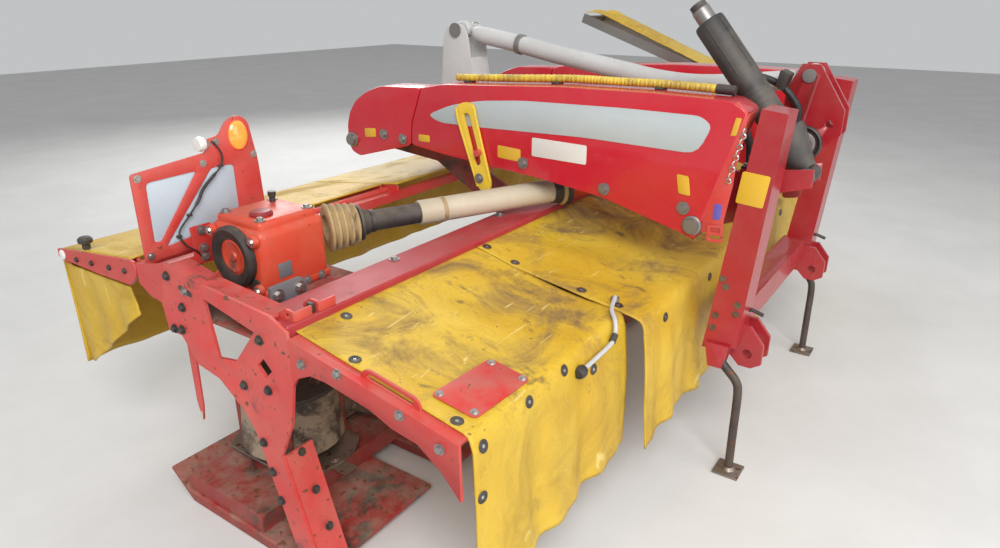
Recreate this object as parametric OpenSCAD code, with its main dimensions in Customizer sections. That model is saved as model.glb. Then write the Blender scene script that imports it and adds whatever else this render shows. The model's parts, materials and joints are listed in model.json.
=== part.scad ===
// Front disc mower, parked on its skids and stands.
// +Y is the direction of travel, +X the machine's right-hand end, +Z up, millimetres.
// Side outlines are lists of [y, z] points.

/* [Cutting unit] */
// Half width over the two end plates
unit_half = 1500; // [1490:1:1520]
// Thickness of the end plates and rear arms
plate_t = 8; // [6:0.5:10]
// Distance of the disc row ahead of the machine's middle
disc_y = 300; // [295:1:305]
// Gap between the edges of two neighbouring discs
disc_gap = 30; // [26:1:40]
// Reach of a knife past its disc's edge
knife_out = 50; // [35:1:54]
// Height of the cutter bar's underside over the ground
bar_z = 35; // [30:1:38]
// Height of the cutter bar itself
bar_h = 55; // [50:1:58]
// Radius of the two drive drums
drum_r = 150; // [130:1:155]

/* [Main beam] */
// Height of the beam's top
beam_top = 700; // [695:1:705]
// Height of the beam's section
beam_h = 100; // [80:1:110]
// Wall of the beam
beam_wall = 8; // [5:0.5:12]

/* [Lift linkage] */
// Outer face of each arm's cover, from the middle
arm_out = 500; // [496:1:505]
// Width of an arm's cover
arm_w = 120; // [115:1:125]
// Radius of the pins at the arms' ends
arm_pin_r = 20; // [16:0.5:24]
// Radius of the upper link's pins
link_pin_r = 12.5; // [10:0.5:15]
// Radius of the upper link's tube
link_r = 34; // [28:1:36]
// Clearance of a pin in its bore, on the radius
pin_gap = 0.05; // [0.02:0.01:0.08]

/* [Hitch] */
// Distance between the middles of the two lower hitch gaps
hitch_span = 825; // [815:1:835]
// Radius of a lower hitch pin's hole
hitch_hole_r = 14.35; // [14:0.05:15]
// Radius of the top link's hole
top_hole_r = 12.75; // [11:0.25:15]
// Height of the top link's hole over the lower holes
hitch_rise = 610; // [600:1:620]

/* [Guards] */
// Thickness of the tarpaulins
tarp_t = 5; // [4:0.5:8]
// Height of the rear curtains' lower edge
curtain_z = 205; // [180:1:240]
// Tilt at which the right side guard stands up
guard_tilt = 19.4; // [17:0.1:21]
// Width of the side guard
guard_w = 240; // [200:1:240]

/* [Hidden] */
$fn = 32;
fit = 0.3;
unit_in = unit_half - plate_t;
beam_y = [-75, 45];
disc_z = bar_z + bar_h + 12;
first_disc = -0.82 * unit_half;
disc_pitch = -first_disc / 3;
disc_r = (disc_pitch - disc_gap) / 2;
knife_reach = disc_r + knife_out;
arm_in = arm_out - arm_w;
// Pivots of the linkage, [y, z]: A and B at the rear, C and D on the cutting unit
C = [721, 864];
A = [-603, 766];
D = [565, 1240];
B = A + D - C;
drive_z = 740;
gear_x = first_disc;
hitch_z = 395;
hitch_y = -790;
top_hole_y = -835;
reach_y = 931;
rear_reach = -871;
// The side guard and the guards in front reach furthest, which moves the middle of the whole
guard_gap = 10;
side_tarp = 9;
mid_x = (guard_gap + guard_w + fit + side_tarp) / 2;
mid_y = (reach_y + rear_reach) / 2;
stand_x = 478;
stand_top = [-715, 372];
stand_foot = -790;
shaft_home = [-300, -850, 905];
shaft_lean = 50;
guard_pivot = [-500, 768];

// Everything is drawn about the cutting unit's middle and moved as one here
module placed() translate([-mid_x, -mid_y, 0]) children();

// A side outline, made t thick from x0 towards the right
module side(x0, t) translate([x0, 0, 0]) rotate([90, 0, 90]) linear_extrude(t) children();

// A plan outline at height z0
module plan(z0, t) translate([0, 0, z0]) linear_extrude(t) children();

// A rear outline of [x, z], made t thick from y0 forwards
module back(y0, t) translate([0, y0 + t, 0]) rotate([90, 0, 0]) linear_extrude(t) children();

// A flat strip from p to q, t wide on its left
module strip(p, q, t) translate(p) rotate(atan2(q.y - p.y, q.x - p.x)) square([norm(q - p), t]);

// Points on an arc of radius r about c, from angle a0 to a1
function arc(c, r, a0, a1) = [for (i = [0:10]) c + r * [cos(a0 + (a1 - a0) * i / 10),
                                                        sin(a0 + (a1 - a0) * i / 10)]];

// A strip w wide about the line from p to q, with round ends
module link(p, q, w) {
  a = atan2(q.y - p.y, q.x - p.x);
  polygon(concat(arc(p, w / 2, a + 90, a + 270), arc(q, w / 2, a - 90, a + 90)));
}

// Points at a distance w on the left of a path's points
function beside(path, w) = [for (i = [0:len(path) - 1])
  let (d = path[min(i + 1, len(path) - 1)] - path[max(i - 1, 0)]) path[i] + w * [-d.y, d.x] / norm(d)];

// A pin along X, from x0 to x1, through the side point p
module pin(x0, x1, p, r) translate([x0, p.x, p.y]) rotate([0, 90, 0]) cylinder(h = x1 - x0, r = r);

// A rod of radius r bent at each side point of a path, with a knee of radius knee at each bend
module bent_rod(x, path, r, knee) {
  for (i = [0:len(path) - 2]) {
    d = path[i + 1] - path[i];
    translate([x, path[i].x, path[i].y]) rotate([-90 + atan2(d.y, d.x), 0, 0])
      cylinder(h = norm(d), r = r);
  }
  for (i = [1:len(path) - 2]) translate([x, path[i].x, path[i].y]) sphere(knee);
}

module both() {
  children();
  mirror([1, 0, 0]) children();
}

module main_beam() color("firebrick") {
  depth = beam_y[1] - beam_y[0];
  difference() {
    translate([-unit_in, beam_y[0], beam_top - beam_h]) cube([2 * unit_in, depth, beam_h]);
    translate([-unit_in - 1, beam_y[0] + beam_wall, beam_top - beam_h + beam_wall])
      cube([2 * unit_in + 2, depth - 2 * beam_wall, beam_h - 2 * beam_wall]);
  }
}

// End plate: a cut sheet with a window, a diamond and bolt holes, and flanges turned inwards
end_outline = [[365, 758], [405, 640], [392, 566], [338, 566], [286, 500], [202, 486], [125, 430],
               [85, 383], [-30, bar_z], [-100, bar_z], [-5, 340], [-60, 450], [-81, 558], [-81, 690],
               [-25, 716], [220, 733]];
end_window = [[215, 698], [189, 548], [120, 560], [35, 660]];
end_holes = [[357, 724], [311, 651], [364, 579], [330, 585], [17, 646], [9, 519], [101, 502],
             [56, 358], [36, 280], [18, 202]];
module end_plate() color("red") {
  difference() {
    side(-unit_half, plate_t) difference() {
      polygon(end_outline);
      polygon(end_window);
      translate([13, 575]) rotate(45) square(36, center = true);
    }
    for (p = end_holes) pin(-unit_half - 1, -unit_in + 1, p, 7);
  }
  side(-unit_in, 60) {
    strip([357, 750], [220, 725], 8);
    strip([220, 725], [-25, 708], 8);
  }
  side(-unit_in, 80) strip([-100, bar_z], [-5, 340], 8);
}

arm_slope = 0.1853;
function arm_top(y) = 676 + (y + 81) * arm_slope;
rear_outline = [[-81 - fit, arm_top(-81)], [-545, arm_top(-545)], [-547, 460], [-499, 513],
                [-443, 552], [-377, 562], [-316, 585], [-190, 606], [-144, 606], [-100, 585],
                [-81 - fit, 558]];
module rear_arm() color("red") {
  side(-unit_half, plate_t) polygon(rear_outline);
  side(-unit_in, 60) strip([-543, arm_top(-543) - 8], [-81, arm_top(-81) - 8], 8);
  side(-unit_in + 14, 6) difference() {
    link([-300, arm_top(-300)], [-410, arm_top(-410)], 50);
    link([-300, arm_top(-300) + 10], [-410, arm_top(-410) + 10], 14);
  }
}

// The right rear arm also carries the side guard's pivot on a post
module rear_arm_right() color("red") {
  mirror([1, 0, 0]) rear_arm();
  side(unit_in, plate_t) polygon([[-540, 580], [-450, 600], [-480, 790], [-520, 790]]);
  pin(unit_in + 1, unit_half + guard_gap + 22, guard_pivot, 12);
}

rail_y = -515;
rail_r = 20;
module rear_rail() color("firebrick")
  pin(-unit_in + 60, unit_in - 60, [rail_y, arm_top(rail_y) - rail_r - 0.4], rail_r);

module cutter_bar() color("firebrick") difference() {
  union() {
    side(-unit_in, 2 * unit_in)
      polygon([[130, bar_z], [440, bar_z], [460, bar_z + 25], [440, bar_z + bar_h], [130, bar_z + bar_h]]);
    for (i = [0:6]) translate([first_disc + i * disc_pitch, disc_y, bar_z + bar_h - 1])
      cylinder(h = 7, r = 60);
  }
  for (i = [0:6]) translate([first_disc + i * disc_pitch, disc_y, bar_z + 10])
    cylinder(h = bar_h + 20, r = 25 + pin_gap);
}

skid_outline = [[-105, bar_z], [-105, 20], [-60, 0], [440, 0], [535, 78], [526, 86], [455, bar_z]];
skid_half = disc_pitch / 2 - 55;
module skids() color("darkred") for (i = [0:6]) {
  middle = first_disc + i * disc_pitch;
  x0 = i == 0 ? -unit_half : middle - skid_half;
  x1 = i == 6 ? unit_half : middle + skid_half;
  side(x0, x1 - x0) polygon(skid_outline);
}

carrier_x = arm_in - 30;
module front_carrier() color("firebrick") {
  both() side(-carrier_x, 14)
    polygon([[beam_y[1], 610], [beam_y[1], 699], [420, 880], [690, 906], [760, 880], [766, 850],
             [700, 815], [440, 790], [150, 620]]);
  both() pin(-arm_out - 14, -carrier_x + 1, C, arm_pin_r);
  translate([-carrier_x + 13, 450, 830]) cube([2 * carrier_x - 26, 220, 36]);
}

bracket_half = 60;
bracket_outline = [[460, 866], [660, 866], [628, 1215], [606, 1262], [530, 1262], [507, 1215]];
module link_bracket() color("silver") {
  both() side(-bracket_half, 8) polygon(bracket_outline);
  side(-bracket_half + 1, 2 * bracket_half - 2) strip([460, 866], [497, 1140], 6);
  pin(-bracket_half - 12, bracket_half + 12, D, link_pin_r);
}

// Side gearbox over the first disc, on a shelf between beam and end plate
shelf_z = 632;
box_z = shelf_z + 8;
module gearbox_shelf() color("firebrick") difference() {
  translate([-unit_in, beam_y[1], shelf_z]) cube([gear_x + 158 + unit_in, 375, 8]);
  translate([gear_x, disc_y, shelf_z - 1]) cylinder(h = 10, r = 70);
}
module side_gearbox() color("orangered") difference() {
  union() {
    translate([gear_x - 110, disc_y - 105, box_z]) cube([220, 210, 180]);
    translate([gear_x - 95, disc_y - 90, box_z + 180]) cube([190, 180, 18]);
    translate([gear_x, disc_y, shelf_z - 60]) cylinder(h = 70, r = 69);
    pin(gear_x + 109, gear_x + 135, [disc_y, drive_z], 62);
    cross_line() translate([0, 0, -30]) cylinder(h = 30 + bellows_start - fit, r = 40);
  }
  translate([gear_x, disc_y, shelf_z - 61]) cylinder(h = 60, r = 30 + pin_gap);
}
module gearbox_covers() color("dimgray") {
  difference() {
    pin(gear_x - 130, gear_x - 110, [disc_y, drive_z], 82);
    pin(gear_x - 131, gear_x - 122, [disc_y, drive_z], 50);
  }
  translate([gear_x - 40, disc_y - 30, box_z + 198]) cylinder(h = 14, r = 26);
  translate([gear_x + 60, disc_y + 50, box_z + 198]) cylinder(h = 30, r = 8);
  translate([gear_x - 165, 100, box_z]) cube([110, 12, 76]);
}

// Warning boards stand on posts from the front rail
board_half = 190;
board_x = gear_x - 65;
board_y = 470;
module warning_boards() color("red") both() {
  back(board_y, 6) difference() {
    polygon([[board_x - board_half, 728], [board_x - board_half, 962], [board_x + 30, 1010],
             [board_x + 60, 1060], [board_x + 120, 1060], [board_x + board_half, 1020],
             [board_x + board_half, 790], [board_x - 40, 728]]);
    polygon([[board_x + 30, 940], [board_x + 150, 960], [board_x + 150, 850]]);
  }
  translate([board_x - 60, board_y - 6, 680]) cube([60, 6, 200]);
}

// Half width of the middle rear cover
cover_split = 800;
// Rear covers: a tarpaulin over beam and rail that hangs to the curtain's edge
module rear_cover(x0, x1, fold_y) color("gold") {
  h = fit;
  side(x0, x1 - x0) polygon([
    [-76, arm_top(-76) + h], [-545, arm_top(-545) + h], [fold_y, arm_top(-545) - 14],
    [fold_y - 18, 540], [fold_y - 26, curtain_z], [fold_y - 26 - tarp_t, curtain_z],
    [fold_y - 18 - tarp_t, 542], [fold_y - tarp_t, arm_top(-545) - 10 + tarp_t],
    [-547, arm_top(-545) + h + tarp_t], [-76, arm_top(-76) + h + tarp_t]]);
}

// A disc with its two knives; neighbours stand a quarter turn apart so that the knives clear
module disc(i) color("dimgray") translate([first_disc + (i - 1) * disc_pitch, disc_y, 0])
  rotate((i % 2) * 90) {
    translate([0, 0, disc_z]) intersection() {
      cylinder(h = 10, r = disc_r, $fn = 64);
      cube([2 * disc_r, 1.36 * disc_r, 30], center = true);
    }
    translate([0, 0, disc_z + 9]) cylinder(h = 26, r1 = 105, r2 = 55);
    translate([0, 0, bar_z + 12]) cylinder(h = disc_z - bar_z, r = 25);
    both() {
      translate([disc_r - 40, -24, disc_z - 5]) cube([knife_reach - disc_r + 36, 48, 5]);
      translate([disc_r - 20, 0, disc_z - 5]) cylinder(h = 24, r = 14);
    }
  }

// Drive drum on an outer disc, with a conical cap and four ribs; only the left one is driven from above
module drum(x) translate([x, disc_y, 0]) {
  color("tan") translate([0, 0, disc_z + 35]) cylinder(h = 190, r1 = drum_r, r2 = drum_r - 15);
  color("darkred") for (a = [45:90:315]) rotate(a)
    translate([drum_r - 24, -14, disc_z + 37]) cube([27, 28, 180]);
  color("dimgray") translate([0, 0, disc_z + 224]) cylinder(h = 60, r1 = drum_r + 10, r2 = 70);
  if (x < 0) color("dimgray") translate([0, 0, disc_z + 280]) cylinder(h = shelf_z - disc_z - 284, r = 30);
}

// Front guards: a fixed rail and middle section, and an outer section each side that folds up
hinge_y = 525;
hinge_z = 705;
front_y = 925;
front_z = 676;
middle_half = 540;
// Height of the front sheets' underside
sheet_drop = (hinge_z + 21 - front_z) / (front_y - 4 - hinge_y);
function under(y) = front_z + (front_y - 4 - y) * sheet_drop;
front_ribs = [[front_y - 8, under(front_y - 8) - fit], [front_y - 8, front_z - 42],
              [hinge_y + 60, hinge_z - 62]];
tip_plate = [[525, 729], [front_y + 2, front_z + 4], [front_y + 6, front_z - 20], [880, 652],
             [700, 650], [545, 655], [505, 690], [502, 712], [512, 726]];
module front_rail() color("red") {
  both() side(-unit_half, plate_t)
    polygon([[367, 757], [400, 745], [496, 727], [496, 672], [450, 646], [405.5, 641]]);
  translate([-unit_in, 470, 678]) cube([2 * unit_in, 30, 30]);
  both() side(-unit_in, 8)
    polygon([[330, 700], [400, 730], [470, 708], [500, 708], [500, 678], [420, 650]]);
  both() for (x = [-unit_half + 16, -middle_half - 12]) difference() {
    side(x, 8) link([500, 693], [hinge_y, hinge_z], 26);
    pin(x - 1, x + 9, [hinge_y, hinge_z], 8 + pin_gap);
  }
  both() side(-middle_half, 8)
    polygon(concat([[499, 680], [470, 708], [475, under(475) - fit]], front_ribs));
  translate([-middle_half, front_y - 30, front_z - 38]) cube([2 * middle_half, 22, 30]);
}
flap_ends = [-unit_half + 26, -middle_half - 14];
module front_frame() color("red") {
  pin(flap_ends[0], flap_ends[1], [hinge_y, hinge_z], 14);
  pin(-unit_half, -middle_half - 4, [hinge_y, hinge_z], 8);
  side(-unit_half, plate_t) polygon(tip_plate);
  for (x = [flap_ends[0], (flap_ends[0] + flap_ends[1]) / 2, flap_ends[1] - 8]) side(x, 8)
    polygon(concat([[hinge_y - 8, hinge_z - 10], [hinge_y + 12, under(hinge_y + 12) - fit]], front_ribs));
  translate([-unit_in - 1, front_y - 30, front_z - 38]) cube([flap_ends[1] + unit_in + 1, 22, 30]);
}
module front_sheet(x0, x1, rear_y) color("gold") side(x0, x1 - x0) polygon([
  [rear_y, under(rear_y)], [front_y - 4, front_z], [front_y + 1, front_z - 4], [front_y + 1, 300],
  [front_y + 6, 300], [front_y + 6, front_z], [front_y, front_z + tarp_t],
  [rear_y, under(rear_y) + tarp_t]]);
module front_cover() {
  front_sheet(-unit_in + 1, -middle_half - 6, hinge_y + 12);
  color("gold") side(-unit_in + 1, 6) polygon([[hinge_y + 45, 640], [front_y - 34, 634],
    [front_y - 7, 634], [front_y - 3, front_z + 1], [front_y + 6, front_z], [front_y + 6, 310], [front_y - 40, 314],
    [hinge_y + 30, 560]]);
}
module front_cover_centre() front_sheet(-middle_half, middle_half, 475);

// Right side guard: two long bars with crosspieces, hinged at the rear end and standing up
guard_len = 1431;
guard_x = unit_half + guard_gap;
module tilted() translate([0, guard_pivot.x, guard_pivot.y]) rotate([guard_tilt, 0, 0]) children();
module side_guard_frame() color("gray") {
  difference() {
    tilted() {
      for (x = [guard_x, guard_x + guard_w - 20])
        translate([x, x == guard_x ? -40 : 0, -25]) cube([20, guard_len + (x == guard_x ? 40 : 0), 50]);
      for (y = [16, guard_len / 2, guard_len - 30]) translate([guard_x + 19, y, -20])
        cube([guard_w - 38, 20, 36]);
    }
    pin(guard_x - 1, guard_x + 21, guard_pivot, 12 + pin_gap);
  }
}
// A cloth's side outline: its upper line and the same line tarp_t lower
function cloth(line) = concat(line, [for (i = [len(line) - 1:-1:0]) line[i] - [0, tarp_t]]);
module side_guard_tarp() color("gold") tilted() {
  side(guard_x + 2, guard_w - 4) polygon(cloth([[40, 31], [guard_len - 820, 31], [guard_len - 560, 95],
    [guard_len - 320, 60], [guard_len - 60, 105], [guard_len - 4, 31]]));
  side(guard_x + guard_w + fit, side_tarp)
    polygon([[-40, 30], [guard_len / 2, 30], [guard_len / 3, -150], [20, -380], [-60, -300]]);
}

// Arms of the lift linkage under sheet covers
cover_bolts = [[-573, 811], [-326, 829], [-38, 870], [469, 892], [560, 900]];
module arm_beams() color("firebrick") both() difference() {
  union() {
    side(-arm_out + 24, arm_w - 48) polygon([[-603, 716], [-500, 760], [-250, 830], [300, 880],
      [560, 860], [721, 820], [760, 864], [721, 908], [400, 990], [-300, 990], [-560, 860],
      [-650, 790]]);
    for (p = cover_bolts) pin(-arm_out + sheet, -arm_in - sheet, p, 14);
  }
  pin(-arm_out, -arm_in, C, arm_pin_r + pin_gap);
  pin(-arm_out, -arm_in, A, arm_pin_r + pin_gap);
}

sheet = 4;
cover_top = [[376, 1074], [292, 1091], [-164, 1114], [-448, 1117], [-678, 1112], [-706, 1106],
             [-718, 1086]];
cover_low = [[-612, 722], [-573, 736], [-314, 802], [-95, 828], [302, 859], [430, 875], [424, 950]];
module arm_covers() color("crimson") both() difference() {
  side(-arm_out, arm_w) polygon(concat(cover_top, cover_low));
  side(-arm_out + sheet, arm_w - 2 * sheet) polygon([[400, 1066], [292, 1087], [-164, 1110],
    [-448, 1113], [-677, 1108], [-703, 1102], [-712, 1086], [-760, 1075], [-700, 680], [445, 680],
    [445, 950]]);
  pin(-arm_out - 1, -arm_in + 1, A, arm_pin_r + 1);
}
module nose_covers() color("crimson") both() difference() {
  side(-arm_out, arm_w) polygon([[380, 1074], [565, 1068], [641, 1042], [695, 1008], [728, 965],
    [745, 915], [745, 850], [731, 820], [691, 804], [434, 872], [428, 950]]);
  side(-arm_out + sheet, arm_w - 2 * sheet) polygon([[372, 1070], [563, 1064], [638, 1038],
    [692, 1005], [724, 963], [741, 922], [765, 915], [765, 780], [691, 780], [420, 850]]);
  pin(-arm_out - 1, -arm_in + 1, C, arm_pin_r + 1);
}

module lock_lever() color("gold") difference() {
  side(-arm_out - 12 - fit, 12) link([186, 1010], [108, 790], 70);
  side(-arm_out - 14, 16) link([182, 1000], [128, 850], 26);
}

// Sleeved hose clipped along the top of the left arm's cover
hose_r = 13;
hose_path = [[292, 1091], [-164, 1114], [-448, 1117], [-620, 1113.3]];
module sleeved_hose() color("yellow")
  bent_rod(-404, [for (p = hose_path) p + [0, hose_r + 0.8]], hose_r, hose_r + 0.5);

// Upper link, bent, parallel to the arms
link_body = [[480, 1220], [300, 1192], [150, 1164], [0, 1140], [-130, 1119], [-260, 1098],
             [-390, 1090], [-660, 1116]];
module upper_link() color("silver") difference() {
  union() {
    side(-link_r, 2 * link_r) polygon(concat(beside(link_body, link_r),
      [for (i = [len(link_body) - 1:-1:0]) beside(link_body, -link_r)[i]]));
    side(-22, 44) link(D, link_body[0], 56);
    side(-22, 44) link(B, link_body[len(link_body) - 1], 56);
  }
  pin(-40, 40, D, link_pin_r + pin_gap);
  pin(-40, 40, B, link_pin_r + pin_gap);
}

// Headstock: two legs, cross tubes, pivots for the arms, hitch pins
leg_outline = [[-748, 1098], [-815, 1090], [-765, 420], [-668, 400]];
module headstock() color("crimson") {
  both() {
    difference() {
      side(-arm_out + 8, arm_w - 16) polygon(leg_outline);
      side(-arm_out + 16, arm_w - 32) polygon([[-756, 1088], [-806, 1082], [-758, 380], [-677, 380]]);
    }
    side(-arm_in + 6, 16) polygon([[-740, 905], [-650, 905], [-603, 806], [-562, 766], [-603, 726],
      [-690, 760]]);
    pin(-arm_out - 14, -arm_in + 20, A, arm_pin_r);
    difference() {
      for (x = [hitch_span / 2 - 42, hitch_span / 2 + 28]) side(x, 14) polygon([[-690, 480],
        [-790, 480], [hitch_y - 42, hitch_z + 35], [hitch_y - 42, hitch_z - 25],
        [hitch_y - 15, hitch_z - 43], [hitch_y + 20, hitch_z - 43], [-690, 430]]);
      pin(hitch_span / 2 - 50, hitch_span / 2 + 50, [hitch_y, hitch_z], hitch_hole_r);
    }
    for (x = [stand_x - 28, stand_x + 18])
      side(x, 10) polygon([[-750, 425], [-680, 425], [-695, 352], [-735, 352]]);
    pin(stand_x - 29, stand_x + 29, stand_top, 8);
  }
  translate([-arm_in - 10, -745, 835]) cube([2 * arm_in + 20, 60, 80]);
  translate([-arm_in - 10, -750, 425]) cube([2 * arm_in + 20, 80, 80]);
  difference() {
    union() {
      both() side(-44, 14) polygon([[-744, 900], [-686, 900], [-700, 1100], [-733, 1175],
        [-785, 1175], [rear_reach, 1048], [rear_reach, 975], [-790, 905]]);
    }
    pin(-60, 60, [top_hole_y, hitch_z + hitch_rise], top_hole_r);
  }
  pin(-46, 46, B, link_pin_r);
  for (x = [shaft_home.x - 54, shaft_home.x + 44])
    side(x, 10) polygon([[-744, 840], [-870, 880], [-870, 930], [-744, 912]]);
  pin(shaft_home.x - 55, shaft_home.x + 55, [shaft_home.y, shaft_home.z], 12);
}

// Centre gearbox on two plates that stand on the beam, with its input shaft to the rear
input_r = 17.5;
module centre_gearbox() color("orangered") {
  translate([-110, -400, 705]) cube([220, 230, 150]);
  both() side(-121, 11) polygon([[beam_y[0], beam_top], [beam_y[1], beam_top], [beam_y[1], 730],
    [-60, 800], [-175, 830], [-300, 830], [-300, 740], [-120, 735]]);
  cross_line() translate([0, 0, shaft_end + fit]) cylinder(h = 250, r = 34);
  translate([0, -399, 780]) rotate([90, 0, 0]) cylinder(h = 81, r = input_r);
}

// Cross shaft from the side gearbox to the centre gearbox
cross_x = gear_x + 140;
cross_to = [-110, -217];
cross_yaw = atan2(cross_to.y - disc_y, cross_to.x - cross_x);
shaft_end = norm(cross_to - [cross_x, disc_y]) - 248;
bellows_start = 42;
bellows_len = 95;
cross_rise = 1.4;
module cross_line() translate([cross_x, disc_y, drive_z])
  rotate([0, 90 - cross_rise, cross_yaw]) children();
module shaft_bellows() color("wheat") cross_line() translate([0, 0, bellows_start]) {
  for (i = [0:4]) translate([0, 0, 20 * i]) cylinder(h = 11, r = 72 - 2.5 * i);
  cylinder(h = bellows_len, r = 54);
}
module cross_shaft() cross_line() {
  color("black") translate([0, 0, bellows_start + bellows_len + fit]) cylinder(h = 30, r1 = 52, r2 = 34);
  color("black") translate([0, 0, 160]) cylinder(h = 170, r = 31);
  color("beige") translate([0, 0, 329]) cylinder(h = shaft_end - 388, r = 38);
  color("black") translate([0, 0, shaft_end - 60]) cylinder(h = 60, r1 = 38, r2 = 56);
}

// Drive shaft, parked leaning over the cross tube
module drive_shaft() translate(shaft_home) rotate([-90 + shaft_lean, 0, 0]) {
  color("black") difference() {
    rotate([0, 90, 0]) translate([0, 0, -40]) cylinder(h = 80, r = 24);
    rotate([0, 90, 0]) translate([0, 0, -41]) cylinder(h = 82, r = 12 + pin_gap);
  }
  color("black") translate([0, 0, 18]) cylinder(h = 120, r1 = 30, r2 = 62);
  color("black") translate([0, 0, 130]) cylinder(h = 380, r = 43);
  color("silver") translate([0, 0, 509]) cylinder(h = 60, r = 26);
}

// Parking stand: a bent rod with a foot
module stand() color("dimgray") {
  difference() {
    union() {
      bent_rod(stand_x, [stand_top, [-785, 300], [stand_foot, 4]], 13, 15);
      translate([stand_x - 40, stand_foot - 40, 0]) cube([80, 80, 8]);
      pin(stand_x - 15, stand_x + 15, stand_top, 18);
    }
    pin(stand_x - 16, stand_x + 16, stand_top, 8 + pin_gap);
  }
}

placed() main_beam();
placed() end_plate();  // end_plate_left
placed() mirror([1, 0, 0]) end_plate();  // end_plate_right
placed() rear_arm();  // rear_arm_left
placed() rear_arm_right();
placed() rear_rail();
placed() cutter_bar();
placed() skids();
placed() front_carrier();
placed() link_bracket();
placed() side_gearbox();
placed() gearbox_covers();
placed() gearbox_shelf();
placed() warning_boards();
placed() rear_cover(-unit_half + 30, -cover_split - 2, -548);  // rear_cover_left
placed() rear_cover(-cover_split + 2, cover_split - 2, -598);  // rear_cover_centre
placed() rear_cover(cover_split + 2, unit_half - 30, -548);  // rear_cover_right
placed() disc(1);  // disc_1
placed() disc(2);  // disc_2
placed() disc(3);  // disc_3
placed() disc(4);  // disc_4
placed() disc(5);  // disc_5
placed() disc(6);  // disc_6
placed() disc(7);  // disc_7
placed() drum(first_disc);  // drum_left
placed() drum(-first_disc);  // drum_right
placed() front_rail();
placed() front_cover_centre();
placed() front_frame();  // front_frame_left
placed() mirror([1, 0, 0]) front_frame();  // front_frame_right
placed() front_cover();  // front_cover_left
placed() mirror([1, 0, 0]) front_cover();  // front_cover_right
placed() side_guard_frame();
placed() side_guard_tarp();
placed() arm_beams();
placed() arm_covers();
placed() nose_covers();
placed() lock_lever();
placed() sleeved_hose();
placed() upper_link();
placed() headstock();
placed() centre_gearbox();
placed() shaft_bellows();
placed() cross_shaft();
placed() drive_shaft();
placed() mirror([1, 0, 0]) stand();  // stand_left
placed() stand();  // stand_right
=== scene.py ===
# %% [markdown]
# # A front disc mower, parked
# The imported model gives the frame: measures are in metres, only the long outlines are written in
# millimetres, and every piece is built where the CAD already holds a solid for it. The machine's middle
# is not the frame's, because its guards reach further on one side: the first step measures that shift.

# %% Load the frame and find the machine's middle
import json
from math import cos, pi, radians, sin, tau

import bmesh
import bpy
from mathutils import Matrix, Vector, noise

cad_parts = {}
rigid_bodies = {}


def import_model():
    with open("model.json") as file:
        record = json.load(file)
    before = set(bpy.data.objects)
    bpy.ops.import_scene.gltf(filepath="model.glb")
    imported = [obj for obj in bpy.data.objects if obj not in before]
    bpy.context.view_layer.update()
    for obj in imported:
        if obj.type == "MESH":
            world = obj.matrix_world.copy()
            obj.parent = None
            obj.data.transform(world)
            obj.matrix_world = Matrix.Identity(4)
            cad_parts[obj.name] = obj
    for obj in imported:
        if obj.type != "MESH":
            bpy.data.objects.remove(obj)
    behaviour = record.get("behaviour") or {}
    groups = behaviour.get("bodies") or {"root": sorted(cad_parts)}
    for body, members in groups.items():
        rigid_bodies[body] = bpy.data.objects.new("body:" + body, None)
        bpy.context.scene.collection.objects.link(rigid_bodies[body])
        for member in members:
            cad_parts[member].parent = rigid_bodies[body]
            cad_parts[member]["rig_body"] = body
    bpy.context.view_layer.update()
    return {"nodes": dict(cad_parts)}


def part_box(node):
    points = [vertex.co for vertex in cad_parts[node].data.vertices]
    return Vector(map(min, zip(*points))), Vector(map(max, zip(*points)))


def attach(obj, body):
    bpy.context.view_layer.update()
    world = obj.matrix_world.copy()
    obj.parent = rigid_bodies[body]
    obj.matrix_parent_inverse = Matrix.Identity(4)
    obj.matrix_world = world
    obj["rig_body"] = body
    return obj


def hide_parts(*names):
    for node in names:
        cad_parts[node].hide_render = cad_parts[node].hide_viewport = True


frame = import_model()

beam_low, beam_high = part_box("main_beam")
SHIFT = Vector(((beam_low.x + beam_high.x) / 2, beam_high.y - 0.045, 0))
HALF = beam_high.x - SHIFT.x + 0.008
OUTER_X, DISC_Y, DISC_Z = 0.82 * HALF, 0.3, 0.102
print(f"the machine's middle is at {tuple(round(v, 4) for v in SHIFT)}, half its width is {HALF:.3f}")

# %% [markdown]
# ## Camera
# A camera is placed by its position and by two angles: how far it looks down and which way it faces.
# A 25 mm lens on a 36 mm wide sensor is the wide view of a telephone's camera.

# %% Camera
EYE = Vector((-2.35, -1.225, 1.365)) + SHIFT
LOOKS_DOWN = 21.7
FACES = -55.4

camera_data = bpy.data.cameras.new("camera")
camera_data.sensor_width = 36
camera_data.lens = 25.2
camera = bpy.data.objects.new("camera", camera_data)
camera.location = EYE
camera.rotation_euler = (radians(90 - LOOKS_DOWN), 0, radians(FACES))
bpy.context.collection.objects.link(camera)
bpy.context.scene.camera = camera
print("camera stands", tuple(round(v, 2) for v in EYE))

# %% [markdown]
# ## Shapes
# A piece is built from simple shapes: a slab pushed out of a flat outline, a block, a lathe turned
# about an axis, a tube swept along a path, and a bolt. Each shape is a small mesh of its own, so that
# its edges can be rounded and its faces turned outwards before it joins the piece in its finish.

# %% Slab, block and rounded outlines
ops = bmesh.ops
LEFT, BACK, DOWN = (-1, 0, 0), (0, -1, 0), (0, 0, -1)
RIGHT, AHEAD, UP = (1, 0, 0), (0, 1, 0), (0, 0, 1)


def mm(*points):
    """Points that are written in millimetres, in metres."""
    return [tuple(v / 1000 for v in p) for p in points]


def kept(geom, kind):
    """The vertices or faces among what an operator gives back."""
    return [g for g in geom if isinstance(g, kind)]


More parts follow.
